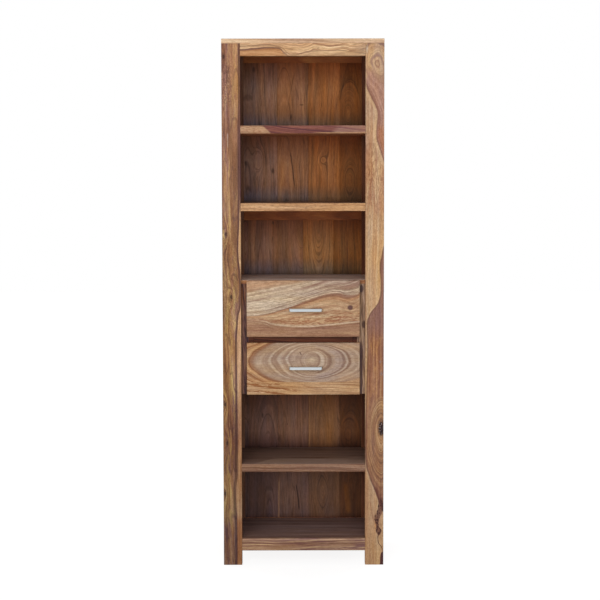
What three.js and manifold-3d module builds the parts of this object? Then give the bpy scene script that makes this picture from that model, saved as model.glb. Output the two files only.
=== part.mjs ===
// Tall open bookcase in solid sheesham, with a case of two drawers in its middle.
// Millimetres, +Z up, front towards -Y. The origin is on the floor, at the centre of the
// box that holds the whole bookcase, handles included.

import * as THREE from "three";
import { mergeVertices } from "three/addons/utils/BufferGeometryUtils.js";
import Module from "manifold-3d";

const wasm = await Module();
wasm.setup();

// Overall size and the joints between pieces
const width = 550;
const depth = 350;
const fit = 0.3; // gap left between two pieces that meet
const overrun = 5; // how far a cutter runs past the face that it enters
const arris = 1.2; // worn edge of a solid wood piece

// Posts
const postWidth = 63;
const postThick = 35;

// Heights, from the floor up
const floorClearance = 50;
const railHeight = 42;
const bottomBay = 233;
const lowerBay = 240;
const caseHeight = 392;
const middleBay = 236;
const upperBay = 235;
const topBay = 233;
const shelfThick = 27;
const topThick = 16;

// Rails
const frontRailThick = 22;
const rearRailThick = 20;
const sideRailThick = 32;
const sideRailInset = 5; // from the posts' outer faces
const backRailHeight = 60;
const backRailDrop = 40; // from the underside of the board that it backs
const tenonThick = 12;
const tenonLength = 25;
const sideTenonLength = 20;
const tenonShoulder = 11;

// Side panels and the back
const panelThick = 20;
const panelInset = 14; // from the posts' outer faces
const tongueThick = 8;
const tongueLength = 8;
const dadoDepth = 6;
const backInset = 28; // from the posts' rear faces to the face of the back
const backThick = 12;
const backRailProud = 2;
const plankGroove = 1.6; // width of the vee between two planks of the back
const plankGrooveDepth = 1;

// Bottom shelf
const bottomShelfThick = 20;
const frontRebate = 10;
const sideRebate = 6;

// Drawer case
const caseBoardThick = 18;
const caseTopThick = 20;
const caseTopEdge = 13; // height of the case top's front edge above the stiles
const stileWidth = 43;
const stileThick = 20;
const drawerGap = 21; // between the two fronts
const railOverlap = 10; // how far the drawer rail runs on behind each front
const railTenonThick = 8;
const railTenonLength = 20;
const railTenonShoulder = 8;
const runnerThick = 18;
const runnerWidth = 86;
const guideThick = 15;
const guideHeight = 20;

// Drawers
const lowerFrontHeight = 178;
const caseTopReveal = 1; // between the upper front and the top of the case
const frontThick = 21.5;
const frontReveal = 19; // stile left bare beside a front
const frontEase = 1.6;
const drawerSlack = 2; // each side of the box
const drawerLift = 2; // how far the upper box clears the drawer rail
const boxHeadroom = 9;
const boxRearSpace = 13.5; // between the sides' ends and the rear rails
const boxSideThick = 15;
const boxBackThick = 15;
const boxDado = 6;
const boxBackInset = 12; // from the rear end of the sides
const boxBottomThick = 6;
const boxBottomLift = 8; // under the bottom panel
const boxGroove = 6;
const boxEase = 1;

// Handles
const handleLength = 113;
const handleHeight = 10;
const handleThick = 8;
const handleBend = 7;
const handleEase = 1.4;
const handleProjection = 28;
const handleLift = 93; // centre line above the lower edge of the front
const handleShift = 8; // to the right of the front's middle
const screwRadius = 2;
const screwHoleSlack = 0.4;
const screwGrip = 12; // length of the screw inside the handle's leg
const screwHeadRadius = 4.2;
const screwHeadHeight = 2.6;

// Places that the sizes above lead to
const halfWidth = width / 2;
const frontY = handleProjection - (depth + handleProjection) / 2;
const rearY = frontY + depth;
const postInner = halfWidth - postWidth;
const panelOuter = halfWidth - panelInset;
const panelInner = panelOuter - panelThick;
const frontPostBack = frontY + postThick;
const rearPostFront = rearY - postThick;
const backY = rearY - backInset;
const rearRailY = backY - backRailProud;
const sideRailOuter = halfWidth - sideRailInset;
const sideRailInner = sideRailOuter - sideRailThick;

const bottomShelfTop = floorClearance + railHeight;
const lowerShelfZ = bottomShelfTop + bottomBay;
const caseZ = lowerShelfZ + shelfThick + lowerBay;
const caseTopZ = caseZ + caseHeight;
const middleShelfZ = caseTopZ + middleBay;
const upperShelfZ = middleShelfZ + shelfThick + upperBay;
const topRailZ = upperShelfZ + shelfThick + topBay;
const topBoardZ = topRailZ + railHeight;
const upperBackRailZ = middleShelfZ - backRailDrop;
const lowerBackRailZ = caseZ - backRailDrop;

const stileY = frontY + frontThick + fit;
const stileBack = stileY + stileThick;
const stileInner = postInner - stileWidth;
const stileTop = caseTopZ - caseTopEdge;
const upperFrontZ = caseZ + lowerFrontHeight + drawerGap;
const upperFrontHeight = caseTopZ - caseTopReveal - upperFrontZ;
const drawerRailZ = caseZ + lowerFrontHeight - railOverlap;
const drawerRailHeight = drawerGap + 2 * railOverlap;
const lowerRunnerZ = caseZ + caseBoardThick + fit;
const lowerBoxZ = lowerRunnerZ + runnerThick + fit;
const upperBoxZ = drawerRailZ + drawerRailHeight + drawerLift;
const upperRunnerZ = upperBoxZ - fit - runnerThick;
const boxFrontY = frontY + frontThick;
const boxLength = rearRailY - boxRearSpace - boxFrontY;
const boxHalf = stileInner - drawerSlack;
const frontHalf = postInner - frontReveal;
const handleHole = handleLength / 2 - handleThick / 2;

// Finishes
const finish = (color, roughness = 0.5, metalness = 0) => ({ color, roughness, metalness });
const woods = {
  honey: finish(0xb98a5c),
  tan: finish(0xb08562),
  walnut: finish(0x94694d),
  shelf: finish(0xa67b58),
  shade: finish(0x7d5138, 0.6),
  inner: finish(0xa98763, 0.6),
};
const satinNickel = finish(0xc9d2d6, 0.3, 0.9);
const zinc = finish(0x9a9ca0, 0.4, 0.9);

// A closed three.js geometry as a solid that can be cut and joined.
function solidOf(geometry) {
  geometry.deleteAttribute("normal");
  geometry.deleteAttribute("uv");
  const merged = mergeVertices(geometry);
  return new wasm.Manifold(
    new wasm.Mesh({
      numProp: 3,
      vertProperties: merged.getAttribute("position").array,
      triVerts: new Uint32Array(merged.index.array),
    }),
  );
}

function geometryOf(solid) {
  const { vertProperties, triVerts } = solid.getMesh();
  const geometry = new THREE.BufferGeometry();
  geometry.setAttribute("position", new THREE.BufferAttribute(vertProperties, 3));
  geometry.setIndex(new THREE.BufferAttribute(triVerts, 1));
  const flat = geometry.toNonIndexed();
  flat.computeVertexNormals();
  return flat;
}

const cut = (solid, ...tools) => tools.reduce((left, tool) => left.subtract(tool), solid);
const join = (solid, ...others) => others.reduce((sum, other) => sum.add(other), solid);

// A block between two places on each axis.
function block([x0, x1], [y0, y1], [z0, z1]) {
  const geometry = new THREE.BoxGeometry(x1 - x0, y1 - y0, z1 - z0);
  geometry.translate((x0 + x1) / 2, (y0 + y1) / 2, (z0 + z1) / 2);
  return solidOf(geometry);
}

// Frames that stand an extrusion along each axis: its outline lies in the other two axes,
// taken in the order x, y, z. Along y the extrusion runs from the far end towards the front.
const extrusionFrames = {
  x: new THREE.Matrix4().makeBasis(
    new THREE.Vector3(0, 1, 0),
    new THREE.Vector3(0, 0, 1),
    new THREE.Vector3(1, 0, 0),
  ),
  y: new THREE.Matrix4().makeBasis(
    new THREE.Vector3(1, 0, 0),
    new THREE.Vector3(0, 0, 1),
    new THREE.Vector3(0, -1, 0),
  ),
  z: new THREE.Matrix4(),
};

// An outline, as points or a shape, extruded from one place to another along an axis.
// Its two end faces are eased by a bevel of the given size and number of steps.
function extrude(outline, axis, from, to, ease = 0, steps = 1) {
  const shape = Array.isArray(outline)
    ? new THREE.Shape(outline.map(([u, v]) => new THREE.Vector2(u, v)))
    : outline;
  const geometry = new THREE.ExtrudeGeometry(shape, {
    depth: to - from - 2 * ease,
    bevelEnabled: ease > 0,
    bevelThickness: ease,
    bevelSize: ease,
    bevelOffset: -ease,
    bevelSegments: steps,
    curveSegments: 6,
    steps: 1,
  });
  geometry.translate(0, 0, axis === "y" ? ease - to : from + ease);
  geometry.applyMatrix4(extrusionFrames[axis]);
  return solidOf(geometry);
}

const rectangle = ([u0, u1], [v0, v1]) => [
  [u0, v0],
  [u1, v0],
  [u1, v1],
  [u0, v1],
];

// A rectangle with its four corners cut at 45 degrees.
const easedRectangle = ([u0, u1], [v0, v1], ease) => [
  [u0 + ease, v0],
  [u1 - ease, v0],
  [u1, v0 + ease],
  [u1, v1 - ease],
  [u1 - ease, v1],
  [u0 + ease, v1],
  [u0, v1 - ease],
  [u0, v0 + ease],
];

const grow = ([from, to], by) => [from - by, to + by];

// The same span on the right (side 1) or on the left (side -1) of the middle.
const onSide = (side, [from, to]) => (side > 0 ? [from, to] : [-to, -from]);

// Spans that several pieces share
const acrossPosts = [-postInner, postInner];
const betweenPosts = [frontPostBack, rearPostFront];
const frontRailY = [frontY, frontY + frontRailThick];
const rearRailSpan = [rearRailY, rearRailY + rearRailThick];
const backSpan = [backY, backY + backThick];
const sideRailX = [sideRailInner, sideRailOuter];
const panelX = [panelInner, panelOuter];
const centred = ([from, to], thick) => [(from + to - thick) / 2, (from + to + thick) / 2];
const tongueX = centred(panelX, tongueThick);
const railLevels = [floorClearance, topRailZ];

const backRails = [
  { name: "rear_bottom_rail", z: floorClearance, height: railHeight, above: true },
  { name: "back_rail_lower", z: lowerBackRailZ, height: backRailHeight, above: true, below: true },
  { name: "back_rail_upper", z: upperBackRailZ, height: backRailHeight, above: true, below: true },
  { name: "rear_top_rail", z: topRailZ, height: railHeight, below: true },
];

const tenonSpan = (z, height, shoulder = tenonShoulder) => [z + shoulder, z + height - shoulder];

// A post: its mortises take the rails, its grooves take the side panel and the back.
function post(side, atRear) {
  const x = onSide(side, [postInner, halfWidth]);
  const y = atRear ? [rearPostFront, rearY] : [frontY, frontPostBack];
  const body = extrude(easedRectangle(x, y, arris), "z", 0, topBoardZ - fit);
  const towardsSide = atRear
    ? [rearPostFront - overrun, rearPostFront + sideTenonLength + fit]
    : [frontPostBack - sideTenonLength - fit, frontPostBack + overrun];
  const towardsPanel = atRear
    ? [rearPostFront - overrun, rearPostFront + tongueLength + fit]
    : [frontPostBack - tongueLength - fit, frontPostBack + overrun];
  const inward = onSide(side, [postInner - overrun, postInner + tenonLength + fit]);
  const sideMortises = railLevels.map((z) =>
    block(
      grow(onSide(side, centred(sideRailX, tenonThick)), fit),
      towardsSide,
      grow(tenonSpan(z, railHeight), fit),
    ),
  );
  const panelGroove = block(
    grow(onSide(side, tongueX), fit),
    towardsPanel,
    [bottomShelfTop - tongueLength - fit, topRailZ + tongueLength + fit],
  );
  const rails = atRear ? backRails : railLevels.map((z) => ({ z, height: railHeight }));
  const railMortises = rails.map(({ z, height }) =>
    block(
      inward,
      grow(centred(atRear ? rearRailSpan : frontRailY, tenonThick), fit),
      grow(tenonSpan(z, height), fit),
    ),
  );
  const backGroove = block(
    onSide(side, [postInner - overrun, postInner + tongueLength + fit]),
    grow(backSpan, fit),
    [bottomShelfTop - tongueLength - fit, topRailZ + tongueLength + fit],
  );
  return cut(body, ...sideMortises, panelGroove, ...railMortises, ...(atRear ? [backGroove] : []));
}

// A side rail between the posts of one side, grooved for the panel. The bottom one is
// rebated too, and carries the edge of the bottom shelf.
function sideRail(side, atTop) {
  const x = onSide(side, sideRailX);
  const y = grow(betweenPosts, -fit);
  const body = extrude(easedRectangle(x, [0, railHeight], arris), "y", ...y);
  const tenon = block(
    onSide(side, centred(sideRailX, tenonThick)),
    grow(betweenPosts, sideTenonLength),
    tenonSpan(0, railHeight),
  );
  const grooveZ = atTop
    ? [-overrun, tongueLength + fit]
    : [railHeight - tongueLength - fit, railHeight + overrun];
  const groove = block(grow(onSide(side, tongueX), fit), grow(y, overrun), grooveZ);
  const rebate = block(
    onSide(side, [sideRailInner - overrun, sideRailInner + sideRebate]),
    grow(y, overrun),
    [railHeight - bottomShelfThick, railHeight + overrun],
  );
  const grooved = cut(body, groove, ...(atTop ? [] : [rebate]));
  return join(grooved, tenon);
}

// A front rail between the front posts. The bottom one is rebated for the bottom shelf.
function frontRail(atTop) {
  const x = grow(acrossPosts, -fit);
  const body = extrude(easedRectangle(frontRailY, [0, railHeight], arris), "x", ...x);
  const tenon = block(
    grow(acrossPosts, tenonLength),
    centred(frontRailY, tenonThick),
    tenonSpan(0, railHeight),
  );
  const rebate = block(
    x,
    [frontRailY[1] - frontRebate, frontRailY[1] + overrun],
    [railHeight - bottomShelfThick, railHeight + overrun],
  );
  return cut(join(body, tenon), ...(atTop ? [] : [rebate]));
}

// A rail between the rear posts, grooved above and below for the panels of the back.
function backRail({ height, above, below }) {
  const x = grow(acrossPosts, -fit);
  const body = extrude(easedRectangle(rearRailSpan, [0, height], arris), "x", ...x);
  const tenon = block(
    grow(acrossPosts, tenonLength),
    centred(rearRailSpan, tenonThick),
    tenonSpan(0, height),
  );
  const groove = (z) => block(grow(x, overrun), grow(backSpan, fit), z);
  const grooves = [];
  if (above) grooves.push(groove([height - tongueLength - fit, height + overrun]));
  if (below) grooves.push(groove([-overrun, tongueLength + fit]));
  return join(cut(body, ...grooves), tenon);
}

// A side panel: a tongue runs round all four edges, and each board ends in a dado.
function sidePanel(side) {
  const z = [bottomShelfTop + fit, topRailZ - fit];
  const core = block(onSide(side, panelX), grow(betweenPosts, -fit), z);
  const tongue = block(
    onSide(side, tongueX),
    grow(betweenPosts, tongueLength),
    grow([bottomShelfTop, topRailZ], tongueLength),
  );
  const dados = boards.map(({ z: level, thick }) =>
    block(
      onSide(side, [panelInner - overrun, panelInner + dadoDepth]),
      grow(betweenPosts, overrun + tongueLength),
      grow([level, level + thick], fit),
    ),
  );
  return cut(join(core, tongue), ...dados);
}

// Plan of a board that fills the space between the side panels, notched round the rear posts,
// and round the front posts too where it starts in front of their backs.
function boardPlan(front, rear, reach) {
  const half = postInner - fit;
  const [notchFront, notchRear] = grow(betweenPosts, -fit);
  const frontCorners =
    front < notchFront
      ? [
          [half, front],
          [half, notchFront],
          [reach, notchFront],
        ]
      : [[reach, front]];
  const rightEdge = [
    ...frontCorners,
    [reach, notchRear],
    [half, notchRear],
    [half, rear],
  ];
  const leftEdge = rightEdge.map(([x, y]) => [-x, y]).reverse();
  return [...rightEdge, ...leftEdge];
}

const boardReach = panelInner + dadoDepth - fit;
const shelfPlan = boardPlan(frontY, backY - fit, boardReach);
const railedShelfPlan = boardPlan(frontY, rearRailY - fit, boardReach);
const caseBottomPlan = boardPlan(stileBack + fit, rearRailY - fit, boardReach);

const boards = [
  { name: "lower_shelf", z: lowerShelfZ, thick: shelfThick, plan: shelfPlan, wood: woods.shelf },
  {
    name: "drawer_case_bottom",
    z: caseZ,
    thick: caseBoardThick,
    plan: caseBottomPlan,
    wood: woods.shade,
  },
  {
    name: "drawer_case_top",
    z: caseTopZ - caseTopThick,
    thick: caseTopThick,
    plan: boardPlan(stileY, backY - fit, boardReach),
    wood: woods.shelf,
  },
  {
    name: "middle_shelf",
    z: middleShelfZ,
    thick: shelfThick,
    plan: railedShelfPlan,
    wood: woods.honey,
  },
  { name: "upper_shelf", z: upperShelfZ, thick: shelfThick, plan: shelfPlan, wood: woods.tan },
];

// The case top is rebated along its front edge, over the stiles.
function boardSolid({ name, thick, plan }) {
  const board = extrude(plan, "z", 0, thick, arris);
  if (name !== "drawer_case_top") return board;
  const rebate = block(
    grow([-boardReach, boardReach], overrun),
    [stileY - overrun, stileBack + fit],
    [-overrun, stileTop + fit - (caseTopZ - caseTopThick)],
  );
  return cut(board, rebate);
}

function bottomShelf() {
  const reach = sideRailInner + sideRebate - fit;
  const plan = boardPlan(frontRailY[1] - frontRebate + fit, rearRailY - fit, reach);
  return extrude(plan, "z", 0, bottomShelfThick - fit, arris);
}

// One panel of the back, planks glued edge to edge with a fine vee at each joint.
// The joints are shares of the width that shows between the rear posts.
const upperPlankShares = [0.019, 0.285, 0.547, 0.814];
const middlePlankShares = [0.245, 0.502, 0.762];
const backPanels = [
  { name: "back_panel_lower", rails: [0, 1], shares: upperPlankShares },
  { name: "back_panel_middle", rails: [1, 2], shares: middlePlankShares },
  { name: "back_panel_upper", rails: [2, 3], shares: upperPlankShares },
];

function backPanel({ rails, shares }) {
  const [under, over] = rails.map((index) => backRails[index]);
  const reach = postInner + tongueLength;
  const [front, rear] = backSpan;
  const joints = shares.flatMap((share) => {
    const x = -postInner + share * 2 * postInner;
    return [
      [x - plankGroove / 2, front],
      [x, front + plankGrooveDepth],
      [x + plankGroove / 2, front],
    ];
  });
  const outline = [[-reach, front], ...joints, [reach, front], [reach, rear], [-reach, rear]];
  return extrude(outline, "z", under.z + under.height - tongueLength, over.z + tongueLength);
}

function stile(side) {
  const x = onSide(side, [stileInner, postInner - fit]);
  const body = extrude(
    easedRectangle(x, [stileY, stileBack], arris),
    "z",
    0,
    stileTop - caseZ,
  );
  const mortise = block(
    onSide(side, [stileInner - overrun, stileInner + railTenonLength + fit]),
    grow(centred([stileY, stileBack], railTenonThick), fit),
    grow(tenonSpan(drawerRailZ - caseZ, drawerRailHeight, railTenonShoulder), fit),
  );
  return cut(body, mortise);
}

function drawerRail() {
  const y = [stileY, stileBack];
  const x = [-stileInner, stileInner];
  const body = extrude(
    easedRectangle(y, [0, drawerRailHeight], arris),
    "x",
    ...grow(x, -fit),
  );
  const tenon = block(
    grow(x, railTenonLength),
    centred(y, railTenonThick),
    tenonSpan(0, drawerRailHeight, railTenonShoulder),
  );
  return join(body, tenon);
}

// A runner on the side panel: the drawer slides on its shelf, beside its upright guide.
function runner(side) {
  const outer = panelInner - fit;
  const profile = [
    [outer - runnerWidth, 0],
    [outer, 0],
    [outer, runnerThick],
    [stileInner + guideThick, runnerThick],
    [stileInner + guideThick, runnerThick + guideHeight],
    [stileInner, runnerThick + guideHeight],
    [stileInner, runnerThick],
    [outer - runnerWidth, runnerThick],
  ];
  const outline = profile.map(([x, z]) => [side * x, z]);
  return extrude(outline, "y", stileBack + fit, rearPostFront - fit);
}

// The bow of a handle, from the drawer front (y 0) out to the grip.
function bow() {
  const half = handleLength / 2;
  const inner = half - handleThick;
  const outerBend = handleBend + handleThick / 2;
  const innerBend = handleBend - handleThick / 2;
  const grip = handleThick - handleProjection;
  const shape = new THREE.Shape();
  shape.moveTo(-half, -fit);
  shape.lineTo(-half, outerBend - handleProjection);
  shape.absarc(
    outerBend - half,
    outerBend - handleProjection,
    outerBend,
    Math.PI,
    1.5 * Math.PI,
  );
  shape.absarc(
    half - outerBend,
    outerBend - handleProjection,
    outerBend,
    1.5 * Math.PI,
    2 * Math.PI,
  );
  shape.lineTo(half, -fit);
  shape.lineTo(inner, -fit);
  shape.absarc(inner - innerBend, grip + innerBend, innerBend, 0, -0.5 * Math.PI, true);
  shape.absarc(innerBend - inner, grip + innerBend, innerBend, 1.5 * Math.PI, Math.PI, true);
  shape.lineTo(-inner, -fit);
  const body = extrude(shape, "z", -handleHeight / 2, handleHeight / 2, handleEase, 2);
  const holes = [-1, 1].map((side) =>
    screwHole(side * handleHole, 0, [-screwGrip - fit, overrun]),
  );
  return cut(body, ...holes);
}

function screwHole(x, z, [from, to]) {
  const radius = screwRadius + screwHoleSlack;
  const geometry = new THREE.CylinderGeometry(radius, radius, to - from, 12);
  geometry.translate(x, (from + to) / 2, z);
  return solidOf(geometry);
}

// A pan-head screw whose shank runs out along -Y; y 0 is under the head.
function screw() {
  const crown = screwHeadHeight / 3;
  const length = frontThick + fit + screwGrip;
  const profile = [
    [0, -length],
    [screwRadius, -length],
    [screwRadius, 0],
    [screwHeadRadius, 0],
    [screwHeadRadius, screwHeadHeight - crown],
    [screwHeadRadius - crown, screwHeadHeight],
    [0, screwHeadHeight],
  ];
  const points = profile.map(([radius, y]) => new THREE.Vector2(radius, y));
  return solidOf(new THREE.LatheGeometry(points, 12));
}

// One drawer in its own frame: x 0 is its middle, y 0 the back of its front, z 0 its lower edge.
const sideX = [boxHalf - boxSideThick, boxHalf];

function drawerFront({ height, box }) {
  const body = extrude(
    rectangle([-frontHalf, frontHalf], [0, height]),
    "y",
    -frontThick,
    0,
    frontEase,
  );
  const dados = [-1, 1].map((side) =>
    block(grow(onSide(side, sideX), fit), [-boxDado, overrun], grow(box, fit)),
  );
  const groove = block(
    [-sideX[0], sideX[0]],
    [-boxDado, overrun],
    grow([box[0] + boxBottomLift, box[0] + boxBottomLift + boxBottomThick], fit),
  );
  const holes = [-1, 1].map((side) =>
    screwHole(handleShift + side * handleHole, handleLift, grow([-frontThick, 0], overrun)),
  );
  return cut(body, ...dados, groove, ...holes);
}

function drawerSide(side, { box }) {
  const body = extrude(
    rectangle([fit - boxDado, boxLength], box),
    "x",
    ...onSide(side, sideX),
    boxEase,
  );
  const inner = onSide(side, [sideX[0] - overrun, sideX[0] + boxGroove]);
  const bottomZ = box[0] + boxBottomLift;
  const groove = block(
    inner,
    [-boxDado - overrun, boxLength + overrun],
    grow([bottomZ, bottomZ + boxBottomThick], fit),
  );
  const dado = block(
    inner,
    grow([boxLength - boxBackInset - boxBackThick, boxLength - boxBackInset], fit),
    [bottomZ, box[1] + overrun],
  );
  return cut(body, groove, dado);
}

function drawerBack({ box }) {
  const reach = sideX[0] + boxGroove - fit;
  const rear = boxLength - boxBackInset;
  const z = [box[0] + boxBottomLift + boxBottomThick + fit, box[1]];
  return extrude(rectangle([-reach, reach], z), "y", rear - boxBackThick, rear, boxEase);
}

function drawerBottom({ box }) {
  const reach = sideX[0] + boxGroove - fit;
  const front = [fit - boxDado, boxLength - boxBackInset];
  const inner = sideX[0] - fit;
  const z = box[0] + boxBottomLift;
  const plan = [
    [-inner, front[0]],
    [inner, front[0]],
    [inner, fit],
    [reach, fit],
    [reach, front[1]],
    [-reach, front[1]],
    [-reach, fit],
    [-inner, fit],
  ];
  return extrude(plan, "z", z, z + boxBottomThick);
}

function mesh(name, solid, { color, roughness, metalness }, x = 0, y = 0, z = 0) {
  const material = new THREE.MeshStandardMaterial({ color, roughness, metalness });
  const piece = new THREE.Mesh(geometryOf(solid), material);
  piece.name = name;
  piece.position.set(x, y, z);
  return piece;
}

function drawer(name, frontZ, height, box) {
  const spec = { height, box: box.map((z) => z - frontZ) };
  const group = new THREE.Group();
  group.position.set(0, boxFrontY, frontZ);
  group.add(
    mesh(`${name}_front`, drawerFront(spec), woods.tan),
    mesh(`${name}_left_side`, drawerSide(-1, spec), woods.inner),
    mesh(`${name}_right_side`, drawerSide(1, spec), woods.inner),
    mesh(`${name}_back`, drawerBack(spec), woods.inner),
    mesh(`${name}_bottom`, drawerBottom(spec), woods.inner),
    mesh(`${name}_handle`, bow(), satinNickel, handleShift, -frontThick, handleLift),
  );
  for (const [label, side] of [["left", -1], ["right", 1]]) {
    const x = handleShift + side * handleHole;
    group.add(mesh(`${name}_${label}_screw`, screw(), zinc, x, fit, handleLift));
  }
  return group;
}

function carcass() {
  const group = new THREE.Group();
  for (const [label, side] of [["left", -1], ["right", 1]]) {
    group.add(
      mesh(`front_${label}_post`, post(side, false), woods.honey),
      mesh(`rear_${label}_post`, post(side, true), woods.walnut),
      mesh(`${label}_bottom_rail`, sideRail(side, false), woods.walnut, 0, 0, floorClearance),
      mesh(`${label}_top_rail`, sideRail(side, true), woods.honey, 0, 0, topRailZ),
      mesh(`${label}_side_panel`, sidePanel(side), woods.tan),
      mesh(`${label}_stile`, stile(side), woods.walnut, 0, 0, caseZ),
      mesh(`lower_${label}_runner`, runner(side), woods.inner, 0, 0, lowerRunnerZ),
      mesh(`upper_${label}_runner`, runner(side), woods.inner, 0, 0, upperRunnerZ),
    );
  }
  for (const rail of backRails) {
    group.add(mesh(rail.name, backRail(rail), woods.shade, 0, 0, rail.z));
  }
  for (const board of boards) {
    group.add(mesh(board.name, boardSolid(board), board.wood, 0, 0, board.z));
  }
  for (const panel of backPanels) {
    group.add(mesh(panel.name, backPanel(panel), woods.shade));
  }
  group.add(
    mesh("front_bottom_rail", frontRail(false), woods.walnut, 0, 0, floorClearance),
    mesh("front_top_rail", frontRail(true), woods.honey, 0, 0, topRailZ),
    mesh("bottom_shelf", bottomShelf(), woods.shade, 0, 0, bottomShelfTop - bottomShelfThick + fit),
    mesh("drawer_rail", drawerRail(), woods.walnut, 0, 0, drawerRailZ),
    mesh("top_board", topBoard(), woods.honey, 0, 0, topBoardZ),
  );
  return group;
}

function topBoard() {
  const plan = rectangle([-halfWidth, halfWidth], [frontY, rearY]);
  return extrude(plan, "z", 0, topThick, arris);
}

const bookcase = new THREE.Group();
bookcase.add(
  carcass(),
  drawer("lower_drawer", caseZ, lowerFrontHeight, [lowerBoxZ, drawerRailZ - boxHeadroom]),
  drawer("upper_drawer", upperFrontZ, upperFrontHeight, [
    upperBoxZ,
    caseTopZ - caseTopThick - boxHeadroom,
  ]),
);

export default bookcase;
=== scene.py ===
"""Looks for the tall open bookcase with two drawers in its middle.

Every board is solid sheesham, and each one gets its own wood: rings round a pith, knots,
heartwood edges and dark streaks, in the board's own coordinates. Lengths are in metres.
"""

import math

import bmesh
import bpy
from mathutils import Matrix, Vector


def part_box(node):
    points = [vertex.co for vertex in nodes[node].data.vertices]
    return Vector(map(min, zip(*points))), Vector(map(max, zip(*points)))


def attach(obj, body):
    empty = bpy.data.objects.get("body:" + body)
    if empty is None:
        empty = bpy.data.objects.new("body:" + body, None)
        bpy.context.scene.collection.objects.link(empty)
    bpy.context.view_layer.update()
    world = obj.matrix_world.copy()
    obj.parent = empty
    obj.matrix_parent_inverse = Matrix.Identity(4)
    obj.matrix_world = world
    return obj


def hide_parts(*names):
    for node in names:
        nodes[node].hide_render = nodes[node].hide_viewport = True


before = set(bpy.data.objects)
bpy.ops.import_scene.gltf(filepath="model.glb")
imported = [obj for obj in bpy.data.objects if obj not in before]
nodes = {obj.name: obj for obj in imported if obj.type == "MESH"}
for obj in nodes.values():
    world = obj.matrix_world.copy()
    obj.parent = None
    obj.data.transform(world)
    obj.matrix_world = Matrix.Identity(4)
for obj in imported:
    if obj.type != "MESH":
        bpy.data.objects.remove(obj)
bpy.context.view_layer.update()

X, Y, Z = 0, 1, 2
scene = bpy.context.scene
left_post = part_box("front_left_post")
right_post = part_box("front_right_post")
BETWEEN = (left_post[1].x, right_post[0].x)  # the opening between the posts


def linear(tone):
    """A colour as a node takes it: from rrggbb, or from a share of each light or of all."""
    if not isinstance(tone, str):
        return (*(tone if isinstance(tone, tuple) else (tone,) * 3), 1)
    parts = [int(tone[i : i + 2], 16) / 255 for i in (0, 2, 4)]
    return (*(p / 12.92 if p < 0.04045 else ((p + 0.055) / 1.055) ** 2.4 for p in parts), 1)


# A material's nodes, written as sums


def operator(name, swap=False):
    def apply(self, other):
        pair = (other, self) if swap else (self, other)
        return self.tree.math(name, *pair)

    return apply


class Term:
    """A socket that takes part in sums."""

    def __init__(self, tree, socket):
        self.tree, self.socket = tree, socket

    __add__ = __radd__ = operator("ADD")
    __mul__ = __rmul__ = operator("MULTIPLY")
    __sub__ = operator("SUBTRACT")
    __rsub__ = operator("SUBTRACT", swap=True)
    __truediv__ = operator("DIVIDE")
    __pow__ = operator("POWER")

    def __abs__(self):
        return self.tree.math("ABSOLUTE", self)


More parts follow.
